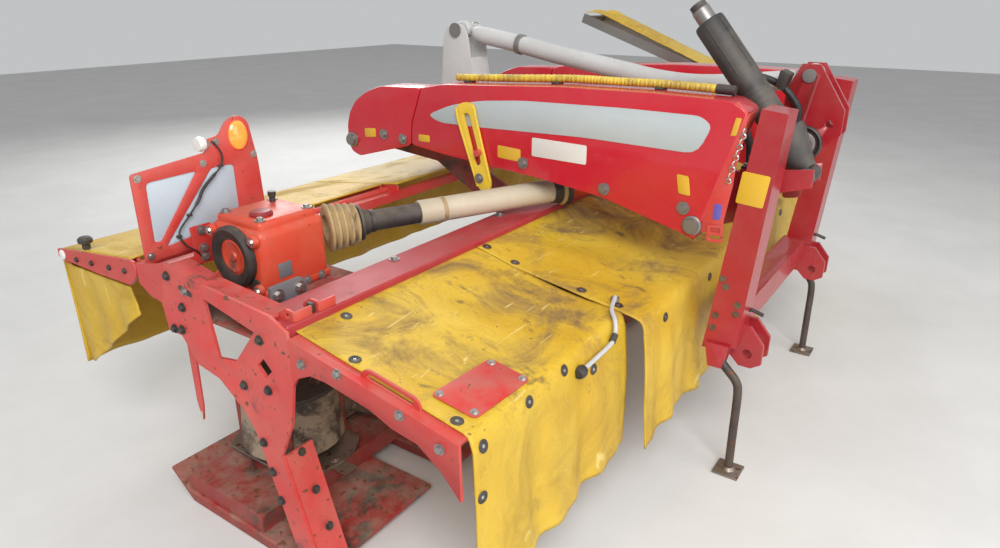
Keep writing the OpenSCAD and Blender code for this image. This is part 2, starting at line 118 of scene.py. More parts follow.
def softened(points, radius, steps=4):
    """An outline with each corner cut back and bent round, as a folded or cut sheet has it."""
    points = [Vector(p) for p in points]
    out = []
    for before, corner, after in zip(points[-1:] + points[:-1], points, points[1:] + points[:1]):
        back, on = before - corner, after - corner
        reach = min(radius, back.length / 2.2, on.length / 2.2)
        a, b = corner + back.normalized() * reach, corner + on.normalized() * reach
        for i in range(steps + 1):
            t = i / steps
            out.append((1 - t) ** 2 * a + 2 * t * (1 - t) * corner + t * t * b)
    return out


def rounded_edges(bm, width, segments=2, sharp=35):
    """Bevels the edges that turn by more than the angle, so that light catches them."""
    edges = [e for e in bm.edges if e.is_manifold and e.calc_face_angle(0) > radians(sharp)]
    if width and edges:
        ops.bevel(bm, geom=edges, offset=width, offset_type="OFFSET", segments=segments, profile=0.5,
            affect="EDGES", material=-1, clamp_overlap=True)


def slab(loop, push, edge=0.0015, holes=(), segments=2):
    """A flat outline of points in space, with holes, pushed out into a plate."""
    bm = bmesh.new()
    for ring in (loop, *holes):
        verts = [bm.verts.new(p) for p in ring]
        for pair in zip(verts, verts[1:] + verts[:1]):
            bm.edges.new(pair)
    if holes:
        ops.triangle_fill(bm, edges=bm.edges[:], use_beauty=True)
    else:
        ops.contextual_create(bm, geom=bm.edges[:])
    out = ops.extrude_face_region(bm, geom=bm.faces[:])
    ops.translate(bm, verts=kept(out["geom"], bmesh.types.BMVert), vec=push)
    ops.recalc_face_normals(bm, faces=bm.faces)
    rounded_edges(bm, edge, segments)
    return bm


def side_plate(outline, x0, x1, edge=0.0015, holes=(), segments=2):
    """A slab whose outline is seen from the side, as (y, z), from x0 to x1."""
    def ring(points):
        return [(x0, *p) for p in points]
    return slab(ring(outline), (x1 - x0, 0, 0), edge, [ring(h) for h in holes], segments)


def block(low, high, edge=0.002, segments=2):
    """A box between two corners, with its edges rounded."""
    low, high = Vector(low), Vector(high)
    bm = bmesh.new()
    ops.create_cube(bm, size=1)
    ops.scale(bm, verts=bm.verts, vec=high - low)
    ops.translate(bm, verts=bm.verts, vec=(low + high) / 2)
    rounded_edges(bm, edge, segments)
    return bm


# %% Lathe, tube and bolt
def towards(at, axis):
    """The transform that takes a shape from the origin's Z to a point and an axis."""
    turn = Vector((0, 0, 1)).rotation_difference(Vector(axis)).to_matrix().to_4x4()
    return Matrix.Translation(at) @ turn


def lathe(profile, at, axis, steps=32):
    """A profile of (radius, height) turned about an axis; it starts and ends on the axis, or closes."""
    bm = bmesh.new()
    verts = [bm.verts.new((r, 0, h)) for r, h in profile]
    edges = [bm.edges.new(pair) for pair in zip(verts, verts[1:])]
    ops.spin(bm, geom=verts + edges, cent=(0, 0, 0), axis=(0, 0, 1), angle=tau, steps=steps,
        use_merge=True)
    ops.remove_doubles(bm, verts=bm.verts, dist=1e-5)
    ops.transform(bm, matrix=towards(at, axis), verts=bm.verts)
    return bm


def curved(points, steps=6):
    """A smooth line through points, as a bent rod or hose takes."""
    p = [Vector(q) for q in points]
    p = [2 * p[0] - p[1]] + p + [2 * p[-1] - p[-2]]
    out = []
    for a, b, c, d in zip(p, p[1:], p[2:], p[3:]):
        for i in range(steps):
            t = i / steps
            out.append(0.5 * (2 * b + (c - a) * t + (2 * a - 5 * b + 4 * c - d) * t * t
                + (3 * b - a - 3 * c + d) * t ** 3))
    return out + [p[-2]]


def tube(path, radius, sides=12):
    """A round cap pushed along a path point by point; radius is a number or a function of 0..1."""
    path = [Vector(p) for p in path]
    size = radius if callable(radius) else lambda t: radius
    ahead = [(path[min(i + 1, len(path) - 1)] - path[max(i - 1, 0)]).normalized()
        for i in range(len(path))]
    bm = bmesh.new()
    ops.create_circle(bm, cap_ends=True, segments=sides, radius=size(0),
        matrix=towards(path[0], ahead[0]))
    cap = bm.faces[:]
    for i in range(1, len(path)):
        out = ops.extrude_face_region(bm, geom=cap)
        cap, verts = kept(out["geom"], bmesh.types.BMFace), kept(out["geom"], bmesh.types.BMVert)
        turn = ahead[i - 1].rotation_difference(ahead[i]).to_matrix()
        grow = size(i / (len(path) - 1)) / size((i - 1) / (len(path) - 1))
        ops.rotate(bm, verts=verts, cent=path[i - 1], matrix=turn)
        ops.scale(bm, verts=verts, vec=(grow, grow, grow), space=Matrix.Translation(-path[i - 1]))
        ops.translate(bm, verts=verts, vec=path[i] - path[i - 1])
    return bm


def bolt(at, axis, radius=0.009, washer=1.7):
    """A hexagon head on a washer, standing on the point."""
    bm = bmesh.new()
    for sides, low, high, depth, rise in ((20, washer, washer, 0.3, 0.1), (6, 1.08, 1, 0.8, 0.6)):
        ops.create_cone(bm, cap_ends=True, segments=sides, radius1=radius * low, radius2=radius * high,
            depth=radius * depth, matrix=Matrix.Translation((0, 0, radius * rise)))
    ops.transform(bm, matrix=towards(at, axis), verts=bm.verts)
    return bm


# %% [markdown]
# ## A piece
# A piece gathers its shapes, each in its own finish or the piece's main one, and is placed once: it is
# shifted to the frame, rides on its CAD body, and may stand for CAD nodes. A sheet metal piece that
# only needs softer edges is made from the CAD node itself.

# %% Gather shapes and place the piece
def made(name, bm, finishes):
    """Makes an object of a bmesh and its finishes, in the scene."""
    mesh = bpy.data.meshes.new(name)
    bm.to_mesh(mesh)
    bm.free()
    for finish in finishes:
        mesh.materials.append(finish)
    piece = bpy.data.objects.new(name, mesh)
    bpy.context.collection.objects.link(piece)
    return piece


class Piece:
    def __init__(self, name, main=None):
        self.name, self.main, self.bm, self.finishes = name, main, bmesh.new(), []

    def add(self, shape, finish=None, outwards=True):
        finish = finish or self.main
        if finish not in self.finishes:
            self.finishes.append(finish)
        if outwards:
            ops.recalc_face_normals(shape, faces=shape.faces)
        for face in shape.faces:
            face.material_index = self.finishes.index(finish)
            face.smooth = True
        mesh = bpy.data.meshes.new("shape")
        shape.to_mesh(mesh)
        shape.free()
        self.bm.from_mesh(mesh)
        bpy.data.meshes.remove(mesh)

    def mirrored(self, keep=True):
        """Adds the shapes on the machine's other side, or moves them there, turned outwards again."""
        geom = self.bm.verts[:] + self.bm.edges[:] + self.bm.faces[:]
        if keep:
            geom = ops.duplicate(self.bm, geom=geom)["geom"]
        ops.scale(self.bm, verts=kept(geom, bmesh.types.BMVert), vec=(-1, 1, 1))
        ops.reverse_faces(self.bm, faces=kept(geom, bmesh.types.BMFace))

    def place(self, body, slot, replaces=(), sharp=35, shift=True):
        if shift:
            ops.translate(self.bm, verts=self.bm.verts, vec=SHIFT)
        piece = made(self.name, self.bm, self.finishes)
        piece.data.set_sharp_from_angle(angle=radians(sharp))
        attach(piece, body)
        if replaces:
            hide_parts(*replaces)
        print(f"{self.name}: {len(piece.data.polygons)} faces on {body}")
        return piece


def softened_node(node, edge, finish, slot, segments=1):
    """A CAD node's own shape with its long edges rounded, in its finish."""
    bm = bmesh.new()
    bm.from_mesh(frame["nodes"][node].data)
    ops.remove_doubles(bm, verts=bm.verts, dist=1e-5)
    ops.dissolve_limit(bm, angle_limit=radians(0.5), verts=bm.verts, edges=bm.edges)
    rounded_edges(bm, edge, segments, sharp=40)
    piece = Piece(node + "_shape")
    piece.add(bm, finish, outwards=False)
    return piece.place(frame["nodes"][node]["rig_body"], slot, [node], shift=False)


print("shapes and pieces are ready")

# %% [markdown]
# ## Finishes
# No surface on a machine that has worked in a field is one flat colour. Each paint is a mix: large
# patches where the sun has faded it, dust that lies mostly on faces that look up, chips that show the
# metal, and fine grain in the bump. All patterns read Object coordinates, so they stay on the piece.

# %% A short way to write shader nodes
class Surface:
    """A new material, and short ways to add nodes to it; each gives the socket that it makes."""
    def __init__(self, name):
        self.material = bpy.data.materials.new(name)
        self.material.use_nodes = True
        self.tree = self.material.node_tree
        self.inputs = self.tree.nodes["Principled BSDF"].inputs

    def feed(self, inputs, values):
        """An input takes a value, or another node's output."""
        for key, value in values.items():
            if isinstance(value, bpy.types.NodeSocket):
                self.tree.links.new(value, inputs[key])
            else:
                inputs[key].default_value = value

    def add(self, kind, values={}, result=0, **settings):
        node = self.tree.nodes.new("ShaderNode" + kind)
        for key, value in settings.items():
            setattr(node, key, value)
        self.feed(node.inputs, values)
        return node.outputs[result]

    def noise(self, scale, detail=4, rough=0.55, stretch=(1, 1, 1), distort=0.0):
        place = self.add("Mapping", {"Vector": self.add("TexCoord", result="Object"), "Scale": stretch})
        return self.add("TexNoise", {"Vector": place, "Scale": scale, "Detail": detail,
            "Roughness": rough, "Distortion": distort}, "Fac")

    def between(self, value, low, high, start=0.0, end=1.0):
        return self.add("MapRange", {"Value": value, "From Min": low, "From Max": high, "To Min": start,
            "To Max": end}, "Result")

    def blended(self, fac, a, b):
        a, b = ((*c, 1) if isinstance(c, tuple) else c for c in (a, b))
        return self.add("Mix", {0: fac, 6: a, 7: b}, 2, data_type="RGBA")

    def times(self, a, b, operation="MULTIPLY"):
        return self.add("Math", {0: a, 1: b}, operation=operation)

    def facing_up(self, low, high, least):
        """How much a face looks up, from the least share to 1."""
        normal = self.add("NewGeometry", result="Normal")
        return self.between(self.add("SeparateXYZ", {0: normal}, 2), low, high, least)

    def finished(self, height, strength, distance, values):
        """Feeds the shader its values and its bump, and gives the material."""
        bump = self.add("Bump", {"Height": height, "Strength": strength, "Distance": distance})
        self.feed(self.inputs, {"Normal": bump, **values})
        return self.material


# %% Paint that has weathered
DUST = (0.3, 0.235, 0.17)
RUST = (0.16, 0.055, 0.022)


def paint(name, colour, faded, dusty, gloss, chips=0.66, grimy=0.66, metallic=0, coat=0, dust=DUST,
        chip=RUST, grime=(0.05, 0.035, 0.028)):
    """A paint from its fresh and faded colours; dusty is how much dust lies on it, gloss its roughness,
    chips and grimy are the noise levels past which metal or dark grime shows."""
    m = Surface(name)
    base = m.blended(m.between(m.noise(2.6, 5, 0.6), 0.35, 0.68), colour, faded)
    dark = m.between(m.noise(7, 6, 0.68, distort=0.4), grimy, grimy + 0.1)
    base = m.blended(dark, base, grime)
    lies = m.times(m.facing_up(-0.3, 1.0, 0.25), m.between(m.noise(11, 7, 0.7), 0.36, 0.68, 0, dusty))
    base = m.blended(lies, base, dust)
    chipped = m.between(m.noise(48, 4, 0.6), chips, chips + 0.02)
    base = m.blended(chipped, base, chip)
    grain = m.times(m.noise(160, 3), m.times(chipped, -1.5), "ADD")
    return m.finished(grain, 0.12, 0.0008, {"Base Color": base, "Metallic": metallic,
        "Coat Weight": coat, "Roughness": m.between(lies, 0, 0.6, gloss, 0.85)})


RED = paint("red_paint", (0.56, 0.022, 0.02), (0.6, 0.075, 0.06), 0.42, 0.34)
FADED_RED = paint("faded_red_paint", (0.6, 0.03, 0.03), (0.65, 0.105, 0.085), 0.46, 0.4, 0.64, 0.6)
CRIMSON = paint("crimson_paint", (0.5, 0.008, 0.022), (0.54, 0.014, 0.03), 0.12, 0.2, 0.74, 0.8,
    coat=0.5)
# Painted shade: the headstock takes the covers' crimson darkened by about a third, as shade lying on it;
# its dust, grime and chips are wear.
CRIMSON_WITH_PAINTED_SHADE = paint("headstock_paint_with_painted_shade", (0.33, 0.008, 0.016), (0.4, 0.014, 0.024), 0.25, 0.28, 0.71,
    0.68, coat=0.3)
DEEP_RED = paint("deep_red_paint", (0.21, 0.008, 0.014), (0.3, 0.014, 0.02), 0.35, 0.35, 0.66, 0.62)
GRIMY_RED = paint("grimy_red_paint", (0.26, 0.014, 0.014), (0.34, 0.03, 0.025), 0.75, 0.5, 0.62, 0.52)
ORANGE_RED = paint("gearbox_paint", (0.6, 0.045, 0.018), (0.66, 0.09, 0.035), 0.36, 0.3, 0.68, 0.6)
YELLOW = paint("yellow_paint", (0.78, 0.5, 0.02), (0.82, 0.58, 0.06), 0.25, 0.28, 0.68, 0.7)
WORN_BEIGE = paint("worn_drum_paint", (0.44, 0.35, 0.24), (0.3, 0.22, 0.15), 0.7, 0.55, 0.66, 0.5)
SHAFT_BEIGE = paint("shaft_guard_plastic", (0.5, 0.42, 0.3), (0.58, 0.51, 0.39), 0.3, 0.45, 0.8, 0.68)
BLACK = paint("black_paint", (0.016, 0.015, 0.016), (0.03, 0.028, 0.027), 0.3, 0.4, 0.72, 0.9,
    chip=(0.2, 0.19, 0.18))
BLACK_PLASTIC = paint("black_plastic", (0.022, 0.021, 0.023), (0.045, 0.043, 0.042), 0.45, 0.5, 0.9,
    0.9)
SOFT_GREY = paint("light_grey_paint", (0.5, 0.51, 0.5), (0.58, 0.585, 0.57), 0.28, 0.4, 0.7, 0.72)
PLATE_GREY = paint("dark_grey_plate", (0.135, 0.14, 0.155), (0.11, 0.11, 0.12), 0.3, 0.4, 0.72)
STEEL = paint("worn_steel", (0.3, 0.26, 0.23), (0.19, 0.12, 0.08), 0.4, 0.34, 0.6, 0.58, metallic=0.7)
ZINC = paint("zinc", (0.34, 0.33, 0.32), (0.25, 0.24, 0.23), 0.3, 0.38, 0.72, 0.72, metallic=0.75)
BRIGHT = paint("bright_steel", (0.62, 0.61, 0.58), (0.5, 0.48, 0.45), 0.15, 0.22, 0.75, 0.8,
    metallic=0.9)
PANEL = paint("panel_blue_grey", (0.42, 0.5, 0.56), (0.5, 0.57, 0.62), 0.2, 0.5, 0.78, 0.78)
SILVER_LABEL = paint("silver_label", (0.4, 0.45, 0.46), (0.45, 0.5, 0.51), 0.1, 0.32, 0.8, 0.85)
WHITE_LABEL = paint("white_label", (0.72, 0.71, 0.68), (0.66, 0.64, 0.6), 0.2, 0.35, 0.8, 0.78)
YELLOW_LABEL = paint("yellow_label", (0.7, 0.42, 0.02), (0.64, 0.36, 0.03), 0.25, 0.35, 0.76, 0.74)
BLUE_LABEL = paint("blue_label", (0.1, 0.07, 0.38), (0.16, 0.12, 0.42), 0.2, 0.4, 0.8, 0.8)
print("paints:", len(bpy.data.materials))

# %% [markdown]
# ## Tarpaulin
# The guards are a coated cloth: a plain weave under a skin of plastic. Its dirt is not even. Chaff and
# mud lie in brown patches on the top, dark specks stick to it, and creases rub pale. The weave follows
# the cloth, so it reads the piece's own UV map, which is laid out in metres.

# %% Tarpaulin
def tarpaulin(name, soiled):
    m = Surface(name)
    tone = m.between(m.noise(3.2, 5, 0.6), 0.34, 0.68)
    base = m.blended(tone, (0.6, 0.355, 0.014), (0.69, 0.465, 0.04))
    up = m.facing_up(0.0, 0.9, 0.35)
    stain = m.between(m.noise(4.2, 9, 0.72, distort=0.9), 0.47, 0.64)
    base = m.blended(m.times(m.times(stain, up), soiled), base, (0.235, 0.135, 0.045))
    mud = m.between(m.noise(9.5, 8, 0.75, (1, 0.55, 1), 0.5), 0.58, 0.68)
    base = m.blended(m.times(m.times(mud, up), soiled), base, (0.1, 0.062, 0.036))
    specks = m.between(m.noise(70, 5, 0.6), 0.66, 0.7, 0, 0.8)
    base = m.blended(m.times(specks, up), base, (0.05, 0.035, 0.022))
    rubbed = m.between(m.noise(6, 3, 0.5, (1, 9, 1), 1.2), 0.665, 0.7, 0, 0.5)
    base = m.blended(rubbed, base, (0.84, 0.68, 0.26))
    uv = m.add("TexCoord", result="UV")
    weave = [m.add("TexWave", {"Vector": uv, "Scale": 160.0, "Distortion": 0.0}, "Fac",
        wave_type="BANDS", bands_direction=direction) for direction in ("X", "Y")]
    woven = m.times(m.times(*weave, "MAXIMUM"), 0.06)
    height = m.times(woven, m.noise(13, 6, 0.62, distort=1.5), "ADD")
    return m.finished(height, 0.5, 0.012, {"Base Color": base,
        "Roughness": m.between(stain, 0, 1, 0.36, 0.72)})


TARP = tarpaulin("tarpaulin", 0.95)
CLEAN_TARP = tarpaulin("tarpaulin_clean", 0.45)

# %% Rubber, bellows and lamp glass
def plain(name, colour, second, rough, values={}, scale=14, bump=0.2):
    m = Surface(name)
    base = m.blended(m.between(m.noise(scale, 6, 0.65), 0.4, 0.62), colour, second)
    return m.finished(m.noise(scale * 9, 3), bump, 0.001,
        {"Base Color": base, "Roughness": rough, **values})


BELLOWS = paint("bellows_plastic", (0.52, 0.38, 0.19), (0.4, 0.27, 0.12), 0.85, 0.5, 0.9, 0.57,
    dust=(0.16, 0.11, 0.07), grime=(0.09, 0.05, 0.03))
RUBBER = plain("black_rubber", (0.012, 0.012, 0.013), (0.05, 0.045, 0.04), 0.55)
SLEEVE = plain("yellow_sleeve", (0.72, 0.52, 0.05), (0.42, 0.29, 0.05), 0.45)
WHITE_LAMP = plain("white_lamp", (0.78, 0.78, 0.74), (0.7, 0.68, 0.62), 0.15, {"Coat Weight": 0.6})
AMBER_LAMP = plain("amber_lamp", (0.95, 0.2, 0.02), (1.0, 0.34, 0.05), 0.16,
    {"Coat Weight": 0.7, "Emission Color": (1.0, 0.22, 0.04, 1), "Emission Strength": 0.9})
PALE_WOOD = plain("pale_tip", (0.62, 0.58, 0.5), (0.4, 0.34, 0.27), 0.7)
print("finishes:", len(bpy.data.materials))

# %% [markdown]
# ## Floor and light
# A plain pale floor and broad lamps show the form without a story of their own. The big lamp stands
# behind the camera's left shoulder, where the photograph's daylight comes from.

# %% Floor, lamps and world
floor = Piece("floor")
floor.add(block((-14, -14, -0.02), (14, 14, -0.0005), 0),
    plain("floor", (0.62, 0.61, 0.59), (0.66, 0.65, 0.63), 0.9, scale=2, bump=0.05))
floor_object = made("floor", floor.bm, floor.finishes)


def lamp(name, at, aim, size, power):
    data = bpy.data.lights.new(name, "AREA")
    data.energy, data.size = power, size
    light = bpy.data.objects.new(name, data)
    light.location = at
    light.rotation_euler = (Vector(aim) - Vector(at)).to_track_quat("-Z", "Y").to_euler()
    bpy.context.collection.objects.link(light)


lamp("broad_lamp", (-4.5, -3.2, 4.6), (-0.3, 0, 0.5), 3.0, 330)
lamp("far_lamp", (2.6, 4.6, 3.6), (0, 0, 0.8), 3.0, 170)
lamp("near_fill", (-1.0, -5.0, 2.2), (0, 0, 0.6), 3.5, 90)
world = bpy.data.worlds.new("world")
bpy.context.scene.world = world
world.use_nodes = True
world.node_tree.nodes["Background"].inputs[0].default_value = (0.86, 0.88, 0.9, 1)
world.node_tree.nodes["Background"].inputs[1].default_value = 0.62
bpy.context.scene.view_settings.view_transform = "Standard"
print("lamps:", len(bpy.data.lights))

# %% [markdown]
# ## The tarpaulins
# Each guard is one cloth. A grid of points is laid over the frame by a small function: how far along
# the machine, and how far down the cloth. The cloth sags between what carries it, breaks over the
# rail, and hangs in loose folds that grow towards the lower edge. Its wall comes from Solidify.

# %% A cloth from a line and its folds
TARP_WALL = 0.004


def along(line, t):
    """The point at the share t of a line's length."""
    steps = [(b - a).length for a, b in zip(line, line[1:])]
    goal = t * sum(steps)
    for a, b, step in zip(line, line[1:], steps):
        if goal <= step:
            return a.lerp(b, goal / step)
        goal -= step
    return line[-1]


def cloth(name, body, place, across, down, replaces, finish=TARP):
    bm = bmesh.new()
    uv = bm.loops.layers.uv.new("cloth")
    ops.create_grid(bm, x_segments=across, y_segments=down, size=0.5)
    where = {v: (v.co.x + 0.5, v.co.y + 0.5) for v in bm.verts}
    for v, (u, t) in where.items():
        v.co = Vector(place(u, t)) + SHIFT
    middle = [Vector(place(0.5, i / 40)) for i in range(41)]
    edge = [Vector(place(i / 40, 0.3)) for i in range(41)]
    length = sum((b - a).length for a, b in zip(middle, middle[1:]))
    width = sum((b - a).length for a, b in zip(edge, edge[1:]))
    for face in bm.faces:
        face.smooth = True
        for loop in face.loops:
            u, t = where[loop.vert]
            loop[uv].uv = (u * width, t * length)
    area = sum(f.calc_area() for f in bm.faces)
    piece = made(name, bm, [finish])
    wall = piece.modifiers.new("wall", "SOLIDIFY")
    wall.thickness, wall.offset = TARP_WALL, 0
    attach(piece, body)
    if replaces:
        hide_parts(*replaces)
    return piece


def uneven(*at):
    """A smooth noise between about -1 and 1."""
    return noise.noise(Vector(at))


def fold(x, z, seed, pitch=0.21):
    """Folds of hanging cloth: a slow wave, a quicker one and a little noise, about zero."""
    wave = sin(x / pitch * tau + seed) + 0.5 * sin(x / pitch * 1.9 * tau + 2 * seed + 3 * z)
    return 0.55 * wave + 0.9 * uneven(x * 4, z * 3, seed)


# %% The rear guards
SLOPE = 0.1853


def arm_top(y):
    """Height of the rear arms' upper edge, which carries the rear guards."""
    return 0.676 + (y + 0.081) * SLOPE


def rear_guard(name, x0, x1, fold_y, seed):
    """The sheet from the beam to the rail, and the curtain that hangs behind it."""
    top, bend = 0.0035, -0.547 if fold_y > -0.56 else -0.575
    line = [(y, arm_top(y) + top) for y in (-0.07, -0.3, -0.535)]
    line += [(bend, arm_top(-0.55) + top - 0.004), (fold_y - 0.001, arm_top(-0.545) - 0.01),
        (fold_y - 0.008, 0.56), (fold_y - 0.02, 0.42), (fold_y - 0.0285, 0.207)]
    line = [Vector(p) for p in line]

    def place(u, t):
        x = x0 + (x1 - x0) * u
        y, z = along(line, t)
        hang = max(0.0, (0.575 - z) / 0.37) if y < -0.54 else 0.0
        rest = min(1.0, max(0.0, (-0.09 - y) / 0.1)) * min(1.0, max(0.0, (y + 0.52) / 0.08))
        rest *= min(1.0, max(0.0, (HALF - 0.07 - abs(x)) / 0.08))
        sag = rest * (0.007 + 0.006 * uneven(x * 3.3, y * 4, seed))
        pucker = 0.0035 * rest * sin(x * 31 + 9 * y + seed) * (0.5 + uneven(x * 5, y * 5, 2))
        wave = fold(x, z, seed) * (0.004 + 0.012 * hang) * min(1, hang * 4)
        hem = 0.014 * hang * uneven(x * 2.6, 7, seed)
        return x, y + wave - 0.004 * hang, z - sag + pucker + max(-0.004, hem)

    return cloth(name, "unit", place, int(90 * (x1 - x0)), 74, [name.replace("tarp", "cover")])


SPLIT = 0.8
rear_guard("rear_tarp_left", -HALF + 0.03, -SPLIT - 0.002, -0.548, 1.3)
rear_guard("rear_tarp_centre", -SPLIT + 0.002, SPLIT - 0.002, -0.598, 4.1)
rear_guard("rear_tarp_right", SPLIT + 0.002, HALF - 0.03, -0.548, 2.2)

# %% The front guards
HINGE_Y, HINGE_Z = 0.525, 0.705
FRONT_Y, FRONT_Z = 0.925, 0.676
FRONT_DROP = (HINGE_Z + 0.021 - FRONT_Z) / (FRONT_Y - 0.004 - HINGE_Y)
MIDDLE_HALF = 0.54


def front_guard(name, x0, x1, rear_y, seed, body, node):
    """The sheet from the hinge to the front edge, and the short curtain before it."""
    def lower(y):
        return FRONT_Z + (FRONT_Y - 0.004 - y) * FRONT_DROP + 0.0026
    line = [Vector(p) for p in ((rear_y, lower(rear_y)), (0.7, lower(0.7)),
        (FRONT_Y - 0.012, lower(FRONT_Y - 0.012)), (FRONT_Y, FRONT_Z),
        (FRONT_Y + 0.0035, FRONT_Z - 0.012), (FRONT_Y + 0.0035, 0.5), (FRONT_Y + 0.0035, 0.302))]

    def place(u, t):
        x = x0 + (x1 - x0) * u
        y, z = along(line, t)
        hang = max(0.0, (0.66 - z) / 0.36) if y > 0.92 else 0.0
        wave = fold(x, z, seed, 0.26) * 0.01 * hang
        ripple = 0.002 * uneven(x * 6, y * 9, seed)
        rise = abs(ripple) if hang == 0 else 0.012 * hang * abs(ripple) * 200
        return x, y + wave + 0.004 * hang, z + rise

    return cloth(name, body, place, int(70 * (x1 - x0)), 44, node,
        finish=CLEAN_TARP)


for side, sign in (("left", 1), ("right", -1)):
    low, high = sorted((sign * (-HALF + 0.009), sign * (-MIDDLE_HALF - 0.006)))
    front_guard("front_tarp_" + side, low, high, HINGE_Y + 0.012, 3 + sign, "flap_" + side,
        ["front_cover_" + side])
front_guard("front_tarp_centre", -MIDDLE_HALF, MIDDLE_HALF, 0.475, 6, "unit", ["front_cover_centre"])


# %% The side curtains under the front guards' tapered ends
def side_curtain(side, sign):
    upper = [Vector(p) for p in ((0.572, 0.64), (0.886, 0.634), (FRONT_Y, 0.672))]
    lower = [Vector(p) for p in ((0.556, 0.56), (0.882, 0.316), (FRONT_Y + 0.004, 0.308))]

    def place(u, t):
        y, z = along(upper, u).lerp(along(lower, u), t)
        wave = 0.006 * t * sin(u * 19 + 2) + 0.004 * t * uneven(u * 5, t * 4, sign)
        return sign * (-HALF + 0.0125 + wave), y + 0.003 * t * sin(9 * u), z

    cloth("side_curtain_" + side, "flap_" + side, place, 34, 28, [])


side_curtain("left", 1)
side_curtain("right", -1)


# %% The right side guard's tarpaulin, thrown over its bars
GUARD_PIVOT = Vector((-0.5, 0.768))
GUARD_TILT = radians(19.4)
GUARD_LENGTH = 1.431


def tilted(x, y, z):
    """A point of the standing side guard, given along and across its bars."""
    return (x, GUARD_PIVOT.x + y * cos(GUARD_TILT) - z * sin(GUARD_TILT),
        GUARD_PIVOT.y + y * sin(GUARD_TILT) + z * cos(GUARD_TILT))


def guard_top(u, t):
    y = 0.045 + t * (GUARD_LENGTH - 0.055)
    far = max(0.0, (y - 0.62) / 0.8)
    crumple = far * (0.035 + 0.045 * abs(uneven(u * 2.2, y * 7.5, 3)) * (1 - abs(2 * u - 1) ** 3))
    ripple = 0.004 * uneven(u * 4, y * 12, 8)
    return tilted(HALF + 0.012 + u * 0.236, y,
        0.031 + crumple * sin(min(1, (GUARD_LENGTH - y) * 8) * pi / 2) + abs(ripple))


def guard_side(u, t):
    top = Vector((-0.038 + u * (GUARD_LENGTH / 2 + 0.036), 0.029))
    low = Vector((-0.058 + u * (GUARD_LENGTH / 3 + 0.052),
        -0.298 - 0.08 * sin(min(1, u * 2.4) * pi) + 0.14 * u * u))
    y, z = top.lerp(low, t)
    return tilted(HALF + 0.2548 + 0.0035 * sin(u * 14) * t, y, z)


cloth("side_guard_tarp_top", "side_guard", guard_top, 26, 130, ["side_guard_tarp"],
    CLEAN_TARP)
cloth("side_guard_tarp_side", "side_guard", guard_side, 60, 30, [],
    CLEAN_TARP)

# %% [markdown]
# ## The lift arms
# Each arm hides in a cover of pressed sheet: two flat sides, a broad rounded edge, open below. The
# cover is a slab with a wide bevel; the faces that look down are cut away and the rest gets its wall
# by solidify, so it is a true shell from below too. The nose over the front pivot is a second shell.

# %% Arm covers and noses
ARM_OUT, ARM_IN = -0.5, -0.38
PIVOT_A, PIVOT_C = Vector((-0.603, 0.766)), Vector((0.721, 0.864))


def shell(outline, x0, x1, edge, wall=0.0035, keep=-0.45):
    bm = side_plate(outline, x0, x1, edge, segments=5)
    bm.faces.ensure_lookup_table()
    under = [f for f in bm.faces if f.normal.z < keep and abs(f.normal.x) < 0.75]
    ops.delete(bm, geom=under, context="FACES")
    ops.solidify(bm, geom=bm.faces[:], thickness=wall)
    return bm


COVER = mm((376, 1074), (292, 1091), (-164, 1114), (-448, 1117), (-670, 1112.5), (-716, 1088),
    (-612, 722), (-573, 736), (-314, 802), (-95, 828), (302, 859), (430, 875), (424, 950))
NOSE = mm((380, 1074), (565, 1068), (641, 1042), (695, 1008), (728, 965), (745, 915), (745, 850),
    (731, 820), (691, 804), (434, 872), (428, 950))
for name, outline, node in (("arm_cover_shells", COVER, "arm_covers"),
        ("nose_shells", NOSE, "nose_covers")):
    covers = Piece(name)
    covers.add(shell(softened(outline, 0.016, 3), ARM_OUT, ARM_IN, 0.013), CRIMSON, outwards=False)
    covers.mirrored()
    covers.place("arms", "cover_red", [node], sharp=50)
softened_node("arm_beams", 0.003, DEEP_RED, "dark_red_paint")

# %% Bands, plates and bolts on the covers
BAND = mm((351, 987), (250, 1028), (129, 1051), (-30, 1064), (-372, 1070), (-596, 1068), (-630, 1045),
    (-596, 966), (-247, 974), (150, 966), (297, 966))
NEAR = ARM_OUT - 0.0002


def label(piece, corners, finish, x=NEAR, thick=0.0012, radius=0.006):
    piece.add(side_plate(softened(corners, radius, 3), x, x - thick, 0.0004), finish)


dress = Piece("arm_bands_and_bolts", ZINC)
label(dress, BAND, SILVER_LABEL, radius=0.035)
label(dress, mm((-70, 955), (-262, 951), (-262, 893), (-70, 897)), WHITE_LABEL)
for corners in (mm((60, 917), (-28, 912), (-28, 872), (60, 877)),
        mm((655, 912), (600, 917), (600, 885), (655, 880)),
        mm((395, 917), (345, 917), (345, 893), (395, 893)),
        mm((-545, 905), (-580, 902), (-590, 848), (-555, 851))):
    label(dress, corners, YELLOW_LABEL)
for sign in (-1, 1):
    for y, z in mm((-573, 811), (-326, 829), (-38, 870), (469, 892), (560, 900)):
        dress.add(bolt((sign * 0.501, y, z), (sign, 0, 0), 0.011))
    for spot in (PIVOT_A, PIVOT_C):
        dress.add(lathe(mm((0, 0), (27.5, 0), (27.5, 4), (23, 7), (21.5, 7), (20.5, 15.5), (0, 16)),
            (sign * 0.5005, *spot), (sign, 0, 0)))
dress.place("arms", "cover_red")

